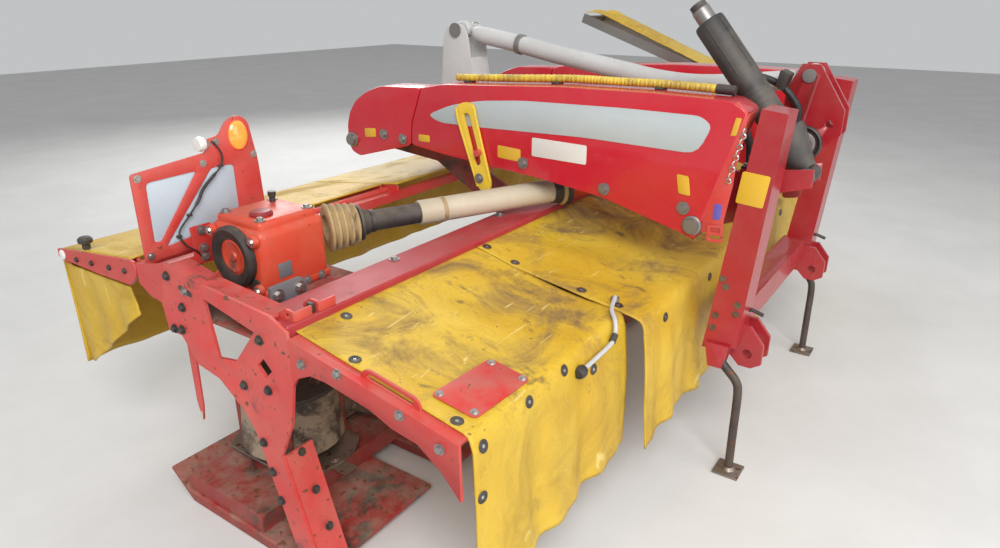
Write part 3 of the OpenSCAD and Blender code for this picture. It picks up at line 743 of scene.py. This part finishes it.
# %% The flange behind the near arm, with its plates, chain and tab
STRIP_X = -0.499
rear = Piece("arm_rear_flange", RED)
rear.add(side_plate(mm((-680, 1108), (-690, 1112), (-717, 1086), (-716, 1027), (-704, 952), (-702, 893),
    (-689, 795), (-688, 752), (-628, 752), (-630, 849), (-640, 930), (-662, 1060)), STRIP_X,
    STRIP_X + 0.0035, 0.001))
rear.add(slab(mm((-497, -718.5, 1084), (-432, -718.5, 1084), (-432, -626, 752), (-497, -626, 752)),
    (0, -0.004, 0), 0.001))
label(rear, mm((-689, 1072), (-704, 1071), (-695, 1026), (-680, 1024)), YELLOW_LABEL, -0.4994, 0.0016,
    0.003)
label(rear, mm((-659, 839), (-681, 838), (-680, 792), (-657, 793)), BLUE_LABEL, STRIP_X, 0.001, 0.009)
TAB = mm((-646, 776), (-690, 779), (-693, 731), (-648, 728))
HOLES = [mm((-655, 769), (-682, 771), (-683, 759), (-656, 757)),
    mm((-656, 748), (-684, 750), (-685, 739), (-657, 737))]
rear.add(side_plate(softened(TAB, 0.006), STRIP_X - 0.0045, STRIP_X - 0.0005, 0.001, HOLES))
LINKS = curved([(STRIP_X - 0.003, y, z) for y,
    z in mm((-716, 1041), (-708, 998), (-699, 954), (-690, 905))])
for i, spot in enumerate(LINKS[::2]):
    rear.add(lathe(mm((5.5, -1.4), (8.5, 0), (5.5, 1.4), (5.5, -1.4)), spot,
        (1, 0, 0) if i % 2 else (0.35, 0.9, 0.2), 10), BRIGHT)
HOSE_X = -0.404
rear.add(tube([(HOSE_X, -0.6, 1.1287), (HOSE_X, -0.652, 1.1275)], 0.0135, 14), BLACK)
CLIP = mm((-650, 1127.5), (-563, 1139), (-577, 1135), (-590, 1122), (-594, 1107))
rear.add(tube(curved([(HOSE_X, y, z) for y, z in CLIP]), 0.003, 8), YELLOW)
rear.place("arms", "cover_red")

# %% Locking lever and sleeved hose
lever = Piece("slotted_lever", YELLOW)
LEVER = mm((222, 1028), (182, 1046), (148, 1040), (140, 1000), (80, 790), (84, 762), (110, 754),
    (132, 768), (214, 985))
SLOT = mm((190, 1008), (166, 1010), (118, 850), (140, 838))
lever.add(side_plate(softened(LEVER, 0.02), -0.5122, -0.5035, 0.0015, [softened(SLOT, 0.011)]))
for path in (mm((219, 1022), (212, 985), (134, 772)), mm((146, 1030), (140, 1000), (84, 794))):
    lever.add(tube([(-0.5105, y, z) for y, z in path], 0.0042, 8))
lever.add(bolt((-0.512, 0.127, 0.8), LEFT, 0.01), ZINC)
lever.add(lathe(mm((0, 0), (11, 0), (11, 16), (0, 16)), (-0.5122, 0.127, 0.886), LEFT, 16), RED)
lever.place("arms", "lever_yellow", ["lock_lever"])

hose = Piece("sleeved_hose_spiral")
HOSE = mm((292, 1105.8), (60, 1117.2), (-164, 1128.8), (-300, 1130), (-448, 1131.8), (-615, 1128.5))
hose.add(tube(curved([(HOSE_X, y, z) for y, z in HOSE], 30),
    lambda t: 0.0105 + 0.0024 * (1 + sin(t * 118 * tau / 2)) / 2), SLEEVE)
for y, z in mm((240, 1094), (-100, 1111), (-440, 1117)):
    hose.add(block((-0.424, y - 0.012, z - 0.001), (-0.3845, y + 0.012, z + 0.006)), BLACK)
hose.place("arms", "hose_sleeve", ["sleeved_hose"], sharp=60)

# %% [markdown]
# ## Upper link and its bracket
# The link is a tube bent in a long S, forged flat at its eyes. It is swept through a few points on a
# smooth line. The bracket is two grey plates with a back plate; its pin ends in collars.

# %% Upper link and bracket
PIVOT_D, PIVOT_B = Vector((0.565, 1.24)), Vector((-0.759, 1.142))
LINK = mm((520, 1230), (470, 1219), (300, 1192), (150, 1164), (0, 1140), (-130, 1119), (-260, 1098),
    (-390, 1090), (-520, 1098), (-640, 1113), (-715, 1133))
upper = Piece("upper_link_tube", SOFT_GREY)
upper.add(tube(curved([(0, y, z) for y, z in LINK], 5),
    lambda t: 0.0205 + 0.0125 * min(1, 9 * t, 9 * (1 - t)) ** 0.6, 20))
for spot in (PIVOT_D, PIVOT_B):
    upper.add(lathe(mm((12.8, -22), (29, -22), (32, -18), (32, 18), (29, 22), (12.8, 22), (12.8, -22)),
        (0, *spot), RIGHT))
upper.add(lathe(mm((33.5, -12), (37, -10), (37, 10), (33.5, 12)), (0, 0.3, 1.192), (0, 0.985, 0.17)),
    ZINC)
upper.place("upper_link", "grey_metal", ["upper_link"], sharp=45)

bracket = Piece("link_bracket_plates", ZINC)
PLATE = mm((461, 866.5), (659, 866.5), (628, 1215), (606, 1258), (565, 1262), (530, 1258), (507, 1215))
for x in (-0.06, 0.052):
    bracket.add(side_plate(softened(PLATE, 0.022), x, x + 0.008, 0.002), SOFT_GREY)
bracket.add(slab(mm((-56, 461, 867), (56, 461, 867), (56, 497, 1138), (-56, 497, 1138)), (0, 0.006, 0),
    0.001), SOFT_GREY)
for sign in (-1, 1):
    bracket.add(lathe(mm((0, 0), (24, 0), (26, 3), (26, 10), (0, 12)), (sign * 0.0595, *PIVOT_D),
        (sign, 0, 0)))
    bracket.add(bolt((sign * 0.06, 0.6, 0.925), (sign, 0, 0), 0.01))
    bracket.add(bolt((sign * 0.06, 0.51, 0.925), (sign, 0, 0), 0.01))
bracket.add(tube([(-0.058, *PIVOT_D), (0.058, *PIVOT_D)], 0.0122, 16), BRIGHT)
bracket.place("unit", "grey_metal", ["link_bracket"])
softened_node("front_carrier", 0.003, GRIMY_RED, "dark_red_paint")

# %% [markdown]
# ## Side gearbox
# The casting is a block with generous radii, split by a flange, with a round cover on its outer face:
# a black rim around a red centre. Bolts stand in its corners, and a filler and a breather on top.

# %% Side gearbox
GEAR = Vector((-OUTER_X, DISC_Y, 0.74))
BOX_LOW, LID = 0.64, 0.838
gears = Piece("side_gearbox_casting", ORANGE_RED)
gx, gy = GEAR.x, GEAR.y
FACE_X = gx - 0.1095
for half_x, half_y, low, high, edge, steps in ((0.109, 0.104, BOX_LOW, 0.8195, 0.024, 5),
        (0.094, 0.089, 0.79, LID, 0.012, 4), (0.11, 0.105, BOX_LOW, BOX_LOW + 0.022, 0.006, 3)):
    gears.add(block((gx - half_x, gy - half_y, low), (gx + half_x, gy + half_y, high), edge, steps))
gears.add(lathe(mm((0, -135), (30, -135), (64, -130), (69, -60), (69, 10), (0, 10)), (gx, gy, 0.707),
    UP))
gears.add(lathe(mm((0, 0), (70, 0), (70, 16), (62, 20), (58, 26), (0, 26)), (gx + 0.109, gy, GEAR.z),
    RIGHT))
for sy, sz in ((-1, -1), (-1, 1), (1, -1), (1, 1)):
    y, z = gy + sy * 0.086, 0.73 + sz * 0.066
    gears.add(lathe(mm((0, 0), (17, 0), (15, 12), (0, 12)), (gx - 0.109, y, z), LEFT, 20))
    gears.add(bolt((gx - 0.121, y, z), LEFT, 0.007), BRIGHT)
    gears.add(bolt((gx + sy * 0.075, gy + sz * 0.07, LID), UP, 0.0085), ZINC)
for turn in range(4):
    side = tau * (turn + 0.5) / 4
    gears.add(bolt((gx - 0.075 + 0.05 * turn, gy - 0.105, 0.652), BACK, 0.0075), ZINC)
    gears.add(bolt((gx + 0.1355, gy + 0.047 * cos(side), GEAR.z + 0.047 * sin(side)), RIGHT, 0.007),
        ZINC)
drain = [(gy + y, z) for y, z in mm((-85, 660), (-40, 660), (-40, 690), (-85, 690))]
gears.add(side_plate(softened(drain, 0.004), gx - 0.1125, gx - 0.1088, 0.0005), BLACK)
gears.add(block((-1.293, gy - 0.1058, 0.684), (-1.251, gy - 0.1035, 0.724), 0.0005), PLATE_GREY)
gears.place("unit", "gearbox_paint", ["side_gearbox"], sharp=50)

cover = Piece("gearbox_round_cover", BLACK)
cover.add(lathe(mm((48, -1), (48, 12), (60, 19), (74, 20), (82, 13), (82, -1), (48, -1)),
    (FACE_X, gy, GEAR.z), LEFT, 48))
cover.add(lathe(mm((0, 0), (49.5, 0), (49.5, 9), (40, 11), (34, 7), (14, 7), (11, 12), (0, 13)),
    (FACE_X, gy, GEAR.z), LEFT, 40), ORANGE_RED)
cover.add(lathe(mm((0, 0), (30, 0), (30, 6), (24, 12), (0, 14)), (gx - 0.04, gy - 0.03, LID), UP, 28),
    DEEP_RED)
cover.add(lathe(mm((0, 0), (8, 0), (8, 16), (11, 17), (11, 29), (0, 30)), (gx + 0.06, gy + 0.05, LID),
    UP, 16))
cover.place("unit", "black_rim")

grey = Piece("grey_plate")
outline = mm((-165, 640.5), (-55, 640.5), (-55, 700), (-72, 716), (-165, 716))
grey.add(slab(softened([(gx + x, 0.1, z) for x, z in outline], 0.006), (0, 0.01, 0)), PLATE_GREY)
for dx in (-0.145, -0.078):
    grey.add(bolt((gx + dx, 0.0995, 0.69), BACK, 0.01), BRIGHT)
grey.add(block((gx - 0.16, 0.112, 0.6405), (gx - 0.06, 0.15, 0.65)), ORANGE_RED)
grey.place("unit", "black_rim", ["gearbox_covers"])
softened_node("gearbox_shelf", 0.0015, GRIMY_RED, "dark_red_paint")

# %% [markdown]
# ## Bellows and cross shaft
# A ribbed plastic bellows hides the first joint. Its profile is a row of ribs that shrink outwards,
# turned about the shaft's line. The guard is two tubes that slide in each other, with a bell at the end.

# %% Bellows and cross shaft
CROSS_FROM = Vector((GEAR.x + 0.14, GEAR.y, GEAR.z))
CROSS_TO = Vector((-0.11, -0.217))
CROSS_FLAT = CROSS_TO - CROSS_FROM.xy
CROSS_RISE = radians(1.4)
CROSS = Vector((*(CROSS_FLAT.normalized() * cos(CROSS_RISE)), sin(CROSS_RISE)))
CROSS_END = CROSS_FLAT.length - 0.248


def on_cross(profile, start=0, steps=32):
    """A shape turned about the cross shaft's line, so far from the gearbox."""
    return lathe(profile, CROSS_FROM + start * CROSS, CROSS, steps)


ribs = [(0.04, 0.043)]
for i in range(5):
    size = 0.072 - 0.0025 * i
    start = 0.043 + 0.0195 * i
    ribs += [(size + r, start + h) for r, h in mm((-12, 0), (-2, 2.5), (0, 6), (-2, 9.5), (-12, 12.5),
        (-17, 16))]
ribs += mm((46, 136.5), (40, 136.8), (40, 43))
bellows = Piece("ribbed_bellows")
bellows.add(on_cross(ribs, steps=40), BELLOWS)
bellows.place("unit", "bellows_plastic", ["shaft_bellows"], sharp=70)

shaft = Piece("cross_shaft_guard", BLACK_PLASTIC)
shaft.add(on_cross(mm((30, 138), (52, 138), (52, 146), (40, 152), (36, 168), (33, 172), (31, 174),
    (31, 329), (26, 331), (26, 138), (30, 138))))
shaft.add(on_cross(mm((34, 174), (34, 186), (30.5, 186), (30.5, 174), (34, 174))), BLACK)
shaft.add(on_cross([(0.03, 0.328), (0.0365, 0.328), (0.038, 0.331), (0.038, CROSS_END - 0.059),
    (0.03, CROSS_END - 0.059), (0.03, 0.328)]), SHAFT_BEIGE)
shaft.add(on_cross(mm((38.5, 400), (39.8, 404), (39.8, 410), (38.5, 414))), BELLOWS)
shaft.add(on_cross(mm((30, -62), (40.5, -62), (41.5, -50), (46, -36), (54, -20), (57.5, -4), (52, 0),
    (30, 0), (30, -62)), CROSS_END))
shaft.add(on_cross(mm((47.5, -34), (52.5, -28), (53, -20), (50, -21)), CROSS_END), BELLOWS)
shaft.place("unit", "shaft_plastic", ["cross_shaft"], sharp=50)
softened_node("centre_gearbox", 0.006, ORANGE_RED, "gearbox_paint", 2)

# %% [markdown]
# ## Headstock
# The frame that couples to the tractor is folded sheet: two channel legs, two cross tubes, lugs with
# pins. The CAD already has its true shape, so it only gets soft edges. On it go the fittings that the
# photograph shows: a blank plate, bolts, a shaft holder, a ring, a tall rod and a bent pipe.

# %% Headstock, its blank plate and its bolts
# The headstock's darker crimson is painted shade.
softened_node("headstock", 0.003, CRIMSON_WITH_PAINTED_SHADE, "red_paint")
LEG_X = -0.4925
fittings = Piece("headstock_fittings")
label(fittings, mm((-722, 935), (-795, 929), (-785, 842), (-712, 848)), YELLOW_LABEL, LEG_X, 0.0015)
for y, z in mm((-705, 625), (-716, 603), (-692, 470), (-697, 510), (-755, 555), (-753, 527)):
    for sign in (-1, 1):
        fittings.add(bolt((sign * -LEG_X, y, z), (sign, 0, 0), 0.006), STEEL)
for sign in (-1, 1):
    holder = [(sign * 0.418, y, z) for y, z in mm((-744, 505), (-778, 520), (-812, 510))]
    fittings.add(tube(holder, 0.006, 8), BLACK)
fittings.place("headstock", "red_paint")

# %% The mast's eye, tall rod, ring and hydraulic pipe
mast = Piece("mast_fittings", DEEP_RED)
SHAFT_EYE = (-0.0445, -0.772, 0.942)
mast.add(lathe(mm((20, 0), (52, 0), (55, 4), (55, 16), (50, 20), (44, 10), (20, 10), (20, 0)),
    SHAFT_EYE, LEFT, 40), BLACK)
mast.add(lathe(mm((0, 0), (36, 0), (36, 12), (28, 14), (14, 14), (12, 21), (0, 21)), SHAFT_EYE, LEFT),
    ZINC)
mast.add(side_plate(softened(mm((-742, 962), (-800, 955), (-790, 775), (-735, 765)), 0.015), -0.062,
    -0.056, 0.001))
mast.add(block((-0.062, -0.775, 0.838), (-0.044, -0.742, 0.885), 0.003))
mast.add(tube(curved(mm((-75, -748, 905), (-82, -762, 985), (-88, -778, 1070), (-92, -792, 1150)), 4),
    0.0055, 10))
mast.add(lathe(mm((17, -4), (25, -2), (25, 2), (17, 4), (17, -4)), (-0.076, -0.757, 0.845),
    (0.8, -0.5, 0.2), 24), BRIGHT)
mast.add(tube([(-0.077, -0.748, 0.87), (-0.076, -0.757, 0.862)], 0.006, 8), BRIGHT)
PIPE = curved(mm((-361, -702, 915), (-361, -692, 990), (-352, -655, 1055), (-325, -620, 1085),
    (-280, -605, 1095), (-220, -600, 1110), (-150, -600, 1130), (-105, -612, 1138), (-73, -650, 1128),
    (-66, -690, 1108), (-65, -722, 1080), (-64, -744, 1049), (-64, -748, 1020), (-66, -742, 975),
    (-70, -727, 940), (-72, -718, 914)), 4)
mast.add(tube(PIPE, 0.0105, 14), RUBBER)
for x, y in ((-0.361, -0.702), (-0.072, -0.718)):
    mast.add(lathe(mm((0, 0), (16, 0), (16, 14), (13, 16), (13, 40), (0, 40)), (x, y, 0.9145), UP, 6),
        ZINC)
mast.add(block((-0.38, -0.722, 0.914), (-0.342, -0.684, 0.922), 0.001), BLACK)
mast.add(side_plate(softened(mm((-700, 1098), (-716, 1148), (-686, 1160), (-678, 1112)), 0.006), -0.1,
    -0.044, 0.001), BLACK)
for sign in (-1, 1):
    mast.add(lathe(mm((0, 0), (20, 0), (20, 5), (0, 6)), (sign * 0.0445, *PIVOT_B), (sign, 0, 0), 20),
        ZINC)
mast.place("headstock", "red_paint")

# %% Stands
STAND = paint("stand_steel", (0.085, 0.06, 0.05), (0.05, 0.042, 0.04), 0.45, 0.5, 0.64, 0.6,
    metallic=0.4)
for side, sign in (("left", -1), ("right", 1)):
    stand = Piece("stand_rod_" + side, STEEL)
    x = sign * 0.478
    leg = mm((-715, 372), (-748, 340), (-777, 309), (-786.2, 270), (-788, 150), (-790, 6))
    stand.add(tube(curved([(x, y, z) for y, z in leg], 4), 0.0128, 14), STAND)
    stand.add(lathe(mm((8.2, -14.8), (17.8, -14.8), (17.8, 14.8), (8.2, 14.8), (8.2, -14.8)),
        (x, -0.715, 0.372), RIGHT, 24), BLACK)
    stand.add(block((x - 0.039, -0.829, 0.0003), (x + 0.039, -0.751, 0.008)))
    stand.add(lathe(mm((12.5, 0), (21, 0), (13.5, 10), (12.5, 0)), (x, -0.79, 0.0075), UP, 20))
    stand.place("stand_" + side, "stand_metal", ["stand_" + side])

# %% [markdown]
# ## Drive shaft
# The tractor's shaft is parked, leaning forwards over the cross tube. It is a plastic cone over the
# joint, then two ribbed tubes with a collar; the ribs come from a profile of small steps.

# %% Drive shaft
HOME = Vector((-0.3, -0.85, 0.905))
LEAN = Vector((0, cos(radians(50)), sin(radians(50))))
drive = Piece("drive_shaft_guard", BLACK_PLASTIC)
drive.add(lathe(mm((12.2, -40), (23, -40), (24, -36), (24, 36), (23, 40), (12.2, 40), (12.2, -40)),
    HOME, RIGHT), BLACK)
for sign in (-1, 1):
    drive.add(lathe(mm((12.5, 0), (23.5, 0), (23.5, 3), (12.5, 3), (12.5, 0)),
        HOME + Vector((sign * 0.0395, 0, 0)), (sign, 0, 0), 24), ZINC)
cone = mm((0, 20), (30, 20), (31, 30), (36, 40), (36, 46), (42, 56), (42, 64), (48, 74), (48, 82),
    (54, 94), (54, 102), (61, 118), (61.5, 134), (58, 138), (44, 140))
for s in range(8):
    z = 0.15 + 0.018 * s
    cone += [(r, z + h) for r, h in mm((42.5, 0), (41.5, 4), (41.5, 9), (42.5, 13))]
cone += mm((42.5, 330), (42.5, 505), (40, 510), (25.5, 510), (25.5, 552), (23.5, 556), (23.5, 569),
    (12, 569), (12, 520), (0, 520))
drive.add(lathe(cone, HOME, LEAN, 40))
drive.add(lathe(mm((25.5, 510.5), (26.2, 514), (26.2, 548), (25.5, 551)), HOME, LEAN, 40), ZINC)
for a in range(6):
    out = Matrix.Rotation(a * tau / 6, 4, LEAN) @ Vector((0.0425, 0, 0))
    drive.add(tube([HOME + LEAN * 0.335 + out, HOME + LEAN * 0.5 + out], 0.0018, 6))
drive.place("drive_shaft", "shaft_plastic", ["drive_shaft"], sharp=50)

# %% [markdown]
# ## Cutting discs and drums
# A disc is a dished plate with a raised hub and two hinged knives. The drum on each outer disc carries
# four ribs and a dark conical cap; mud and stems have worn its paint to a brown.

# %% Drums with ribs and caps
for side, sign in (("left", -1), ("right", 1)):
    middle = Vector((sign * OUTER_X, DISC_Y, DISC_Z))
    drum = Piece("drum_shell_" + side, STEEL)
    drum.add(lathe(mm((0, 36), (146, 36), (150, 42), (148.5, 60), (136.5, 205), (137, 222), (0, 222)),
        middle, UP, 48), WORN_BEIGE)
    drum.add(lathe(mm((0, 221.5), (157, 221.5), (160, 226), (158, 232), (118, 255), (75, 281.5),
        (68, 284), (0, 284)), middle, UP, 48), BLACK)
    for a in (45, 135, 225, 315):
        rib = block((0.125, -0.0135, 0.038), (0.1528, 0.0135, 0.216), 0.003)
        turn = Matrix.Translation(middle) @ Matrix.Rotation(radians(a), 4, "Z")
        ops.transform(rib, matrix=turn, verts=rib.verts)
        drum.add(rib, GRIMY_RED)
        way = Matrix.Rotation(radians(a + 45), 3, "Z") @ Vector((1, 0, 0))
        drum.add(bolt(middle + 0.118 * way + Vector((0, 0, 0.254)), 0.45 * way + Vector((0, 0, 0.9))))
    if sign < 0:
        drum.add(lathe(mm((0, 282), (34, 282), (30, 292), (30, 526), (0, 526)), middle, UP, 24))
    drum.place("disc_1" if sign < 0 else "disc_7", "drum_worn", ["drum_" + side])

for i in range(2, 7):
    x = OUTER_X * ((i - 1) / 3 - 1)
    hub = Piece(f"disc_{i}_bolts")
    for k in range(4):
        angle = tau * (k + 0.5) / 4
        hub.add(bolt((x + 0.036 * cos(angle), DISC_Y + 0.036 * sin(angle), DISC_Z + 0.0345), UP, 0.007),
            ZINC)
    hub.add(lathe(mm((0, 34), (20, 34), (20, 34.8), (0, 34.9)), (x, DISC_Y, DISC_Z), UP, 20), STEEL)
    hub.place(f"disc_{i}", "disc_steel")

# %% [markdown]
# ## Steelwork
# Beam, plates, rails, skids and discs already have their true shapes in the CAD. Each gets a copy with
# its sharp edges rounded a little, since an edge that catches no light looks cut from paper, and the
# paint that part wears: faded where the sun reaches, grimy where it runs in the soil.

# %% Steelwork with soft edges and its own paint
BEAM_RED = paint("beam_red_paint", (0.35, 0.01, 0.022), (0.42, 0.03, 0.04), 0.2, 0.46, 0.66, 0.7)
DARK, PLAIN = "dark_red_paint", "red_paint"
STEELWORK = [("main_beam", 0.007, BEAM_RED, DARK), ("rear_rail", 0.002, BEAM_RED, DARK),
    ("cutter_bar skids", 0.004, GRIMY_RED, DARK),
    ("end_plate_left end_plate_right", 0.0018, FADED_RED, PLAIN),
    ("rear_arm_left rear_arm_right front_rail front_frame_left front_frame_right", 0.0018, RED, PLAIN),
    ("side_guard_frame", 0.003, ZINC, "guard_metal")]
for nodes, edge, finish, slot in STEELWORK:
    for node in nodes.split():
        softened_node(node, edge, finish, slot)
for i in range(1, 8):
    softened_node(f"disc_{i}", 0.0015, STEEL, "disc_steel")

# %% Bolts of the near end plate and its small fittings
PLATE_X, ON_PLATE = -HALF, -HALF - 0.0002
END_BOLTS = mm((357, 724), (311, 651), (364, 579), (330, 585), (17, 646), (9, 519), (101, 502),
    (56, 358), (36, 280), (18, 202))
ends = Piece("end_plate_bolts", BLACK)
for y, z in END_BOLTS:
    ends.add(bolt((ON_PLATE, y, z), LEFT, 0.0085, 1.5))
for y, z in mm((-12, 330), (-50, 235), (-85, 140)):
    ends.add(bolt((PLATE_X + 0.05, y - 0.0035, z), (0, -1, 0.32), 0.0075, 1.5))
ends.add(side_plate(softened(mm((312, 712), (262, 703), (262, 688), (312, 697)), 0.007), PLATE_X,
    PLATE_X - 0.0016, 0.0004))
ends.add(bolt((PLATE_X - 0.001, 0.287, 0.7), LEFT, 0.008, 1.4), ZINC)
for y, z in mm((-231, 640), (-401, 604), (-500, 565), (-120, 628)):
    ends.add(bolt((ON_PLATE, y, z), LEFT, 0.008, 1.5), ZINC)
ends.mirrored()
ends.place("unit", "red_paint")

near = Piece("near_end_fittings", ZINC)
STRIP = mm((404, 540), (372, 540), (381, 320), (393, 268), (407, 330))
near.add(side_plate(softened(STRIP, 0.004, 2), PLATE_X + 0.045, PLATE_X + 0.051, 0.001), FADED_RED)
near.add(side_plate(mm((396.5, 300), (387.5, 300), (393, 270)), PLATE_X + 0.0442, PLATE_X + 0.0518,
    0.0006), PALE_WOOD)
near.add(bolt((PLATE_X + 0.013, 0.386, 0.575), LEFT, 0.006))
TAB = softened(mm((-74, 700.2), (-20, 700.2), (-20, 711), (-46, 728), (-74, 726)), 0.005)
EYELET = softened(mm((-58, 709), (-48, 709), (-48, 718), (-58, 718)), 0.004)
for x in (-1.47, -1.4):
    near.add(side_plate(TAB, x, x + 0.006, 0.001, [EYELET]), RED)
    near.add(block((x + 0.003, -0.0735, 0.7004), (x + 0.052, -0.0675, 0.7245), 0.0015), RED)
BEAM_TOP = 0.7002
near.add(block((-1.415, -0.066, BEAM_TOP), (-1.403, -0.048, 0.724), 0.003), BLACK)
for x in (-1.05, -0.55, 0.55, 1.05, 1.36):
    near.add(bolt((x, 0.02, BEAM_TOP), UP))
near.place("unit", "red_paint")

# %% Warning boards
BOARD_X, BOARD_Y = -OUTER_X - 0.065, 0.47
RIM = mm((-1485, 728), (-1484, 957), (-1270, 977), (-1264, 1010), (-1225, 1016), (-1205, 1044),
    (-1180, 1059.5), (-1152, 1058.5), (-1130, 1040), (-1112, 930), (-1106, 790), (-1395, 728))
LEFT_GLASS = mm((-1449, 930), (-1306, 934), (-1436, 772), (-1454, 776))
RIGHT_GLASS = mm((-1262, 934), (-1193, 932), (-1194, 800), (-1240, 775), (-1425, 755))


def board(outline, y0, y1, edge=0.001, holes=()):
    def ring(points):
        return [(x, y0, z) for x, z in points]
    return slab(ring(outline), (0, y1 - y0, 0), edge, [ring(h) for h in holes])


boards = Piece("board_panels", RED)
rims = [softened(LEFT_GLASS, 0.012), softened(RIGHT_GLASS, 0.012)]
boards.add(board(softened(RIM, 0.01), BOARD_Y, BOARD_Y + 0.006, 0.0015, rims))
for rim in rims:
    boards.add(board(rim, BOARD_Y + 0.0025, BOARD_Y + 0.0042, 0.0002), PANEL)
boards.add(block((BOARD_X - 0.06, 0.464, 0.68), (BOARD_X, 0.4697, 0.79)))
for x, z in mm((-1468, 945), (-1470, 742), (-1285, 950), (-1125, 948), (-1265, 998), (-1238, 1000)):
    boards.add(bolt((x, BOARD_Y - 0.0002, z), BACK, 0.006), BRIGHT)
for z in (0.7, 0.725, 0.775):
    boards.add(bolt((BOARD_X - 0.03, 0.4638, z), BACK, 0.008), ZINC)
for y, out in ((BOARD_Y - 0.0001, -1), (BOARD_Y + 0.0061, 1)):
    lens = lathe(mm((0, 0), (29, 0), (29, 4), (26, 8), (16, 13), (0, 15)), (0, 0, 0), (0, out, 0))
    ops.scale(lens, verts=lens.verts, vec=(1, 1, 1.35))
    ops.translate(lens, verts=lens.verts, vec=(-1.168, y, 1.008))
    boards.add(lens, AMBER_LAMP)
boards.add(lathe(mm((0, -10), (18, -10), (20, 0), (18, 10), (0, 12)), (-1.284, BOARD_Y + 0.003, 1.0),
    LEFT, 24), WHITE_LAMP)
CABLE = mm((-1252, 467.5, 1004), (-1238, 463, 985), (-1229, 463.5, 962), (-1236, 464, 935),
    (-1268, 463.5, 910), (-1300, 463.5, 884), (-1319, 464, 856), (-1350, 463.5, 824),
    (-1381, 463.5, 795), (-1389, 462, 775), (-1375, 459, 745), (-1348, 459.5, 722), (-1335, 466, 700))
boards.add(tube(curved(CABLE, 5), lambda t: 0.0042 if 0.3 < t < 0.52 else 0.0024, 8), RUBBER)
for i in (3, 7, 9):
    x, y, z = CABLE[i]
    boards.add(block((x - 0.006, y - 0.0035, z - 0.003), (x + 0.006, BOARD_Y + 0.0005, z + 0.003),
        0.001), BLACK)
boards.mirrored()
boards.place("unit", "red_paint", ["warning_boards"])

# %% Knob and fitting at the front corners
for side in ("left", "right"):
    corner = Piece("front_corner_fittings_" + side, BLACK)
    corner.add(lathe(mm((0, 0), (11, 0), (11, 14), (19, 18), (20, 28), (14, 34), (0, 36)),
        (-1.478, 0.795, 0.7009), UP, 20))
    corner.add(lathe(mm((0, 0), (14, 0), (15, 3), (12, 6), (0, 8)), (ON_PLATE, 0.898, 0.668), LEFT, 20),
        WHITE_LAMP)
    for y, z in mm((560, 692), (640, 684), (735, 676), (820, 668)):
        corner.add(bolt((ON_PLATE, y, z), LEFT, 0.006, 1.4))
    if side == "right":
        corner.mirrored(keep=False)
    corner.place("flap_" + side, "red_paint")

# %% [markdown]
# ## Fittings on the cloth
# Rivets, a blank plate and a bent rod sit on the rear guards. The cloth is not flat, so each rivet asks
# the finished cloth where its surface is, with a ray, and stands on the point and normal it gets back.
# The plate follows the arms' slope, raised clear of the cloth where rays at its corners meet it; the rod
# follows its listed points.

# %% Rivets on the tarpaulins
bpy.context.view_layer.update()


def on_cloth(name, at, way):
    """The point and outward normal where a ray in the machine's own frame meets a cloth."""
    piece = bpy.data.objects[name].evaluated_get(bpy.context.evaluated_depsgraph_get())
    _, spot, normal, _ = piece.ray_cast(Vector(at) + SHIFT, Vector(way))
    return spot - SHIFT, normal


RIVETS = {("left", DOWN): mm((-1345, -101), (-1452, -235), (-1452, -505)),
    ("centre", DOWN): mm((-775, -191), (-775, -409), (-775, -92), (-775, -520), (775, -300)),
    ("right", DOWN): mm((1452, -300), (840, -150)),
    ("left", AHEAD): mm((-1440, 560), (-1452, 450), (-1270, 570), (-989, 520), (-1120, 575)),
    ("centre", AHEAD): mm((-660, 545), (-300, 545), (100, 545), (550, 545)),
    ("right", AHEAD): mm((950, 570), (1250, 570), (1440, 560))}
rivets = Piece("tarpaulin_rivets")
for (side, way), (a, b) in ((key, at) for key, spots in RIVETS.items() for at in spots):
    start = (a, b, 1.0) if way == DOWN else (a, -0.9, b)
    spot, normal = on_cloth("rear_tarp_" + side, start, way)
    rivets.add(lathe(mm((4, 0), (13, 0), (14, 1.2), (12, 2.8), (7, 2.8), (4, 1.2)), spot, normal, 20),
        BLACK)
    rivets.add(lathe(mm((0, 0), (4.5, 0), (4, 1.4), (0, 2)), spot, normal, 12), BRIGHT)
rivets.place("unit", "tarpaulin")

# %% Blank plate and bent rod
PLATE = mm((-1236, -430), (-1233, -535), (-1425, -529), (-1430, -420))
plate = Piece("blank_red_plate")
bm = slab([(x, y, 0.75) for x, y in softened(PLATE, 0.014)], (0, 0, -0.0016), 0.0004)
ops.subdivide_edges(bm, edges=[e for e in bm.edges if e.calc_length() > 0.05], cuts=9,
    use_grid_fill=True)
corners = [on_cloth("rear_tarp_left", (x, y, 1.0), DOWN)[0] for x, y in PLATE]
rise = max(c.z - arm_top(c.y) for c in corners) + 0.003
for v in bm.verts:
    v.co.z += arm_top(v.co.y) + rise - 0.7492
plate.add(bm, RED)
for x, y in PLATE:
    x, y = x + (0.014 if x < -1.3 else -0.014), y + (0.013 if y < -0.5 else -0.013)
    plate.add(bolt((x, y, arm_top(y) + rise + 0.0006), (0, -0.18, 1), 0.0062, 1.5), BRIGHT)
plate.place("unit", "red_paint")

rod = Piece("bent_grey_rod", BLACK)
ROD = mm((-1055, -566, 548), (-1035, -567, 550), (-935, -569, 556), (-900, -569, 563),
    (-875, -562, 580), (-860, -551, 600), (-826, -525, 610.5), (-765, -505, 617))
rod.add(tube(curved(ROD, 5), 0.0058), SOFT_GREY)
rod.add(lathe(mm((0, -12), (13, -12), (15.5, -6), (15.5, 6), (12, 14), (0, 16)),
    (-1.062, -0.566, 0.548), (-1, 0, -0.1), 20))
rod.add(lathe(mm((0, 0), (12, 0), (12, 10), (0, 12)), (-0.765, -0.505, 0.606), UP, 20), ZINC)
rod.add(tube([(-0.905, -0.5685, 0.5605), (-0.885, -0.5665, 0.572)], 0.0085))
rod.place("unit", "guard_metal")
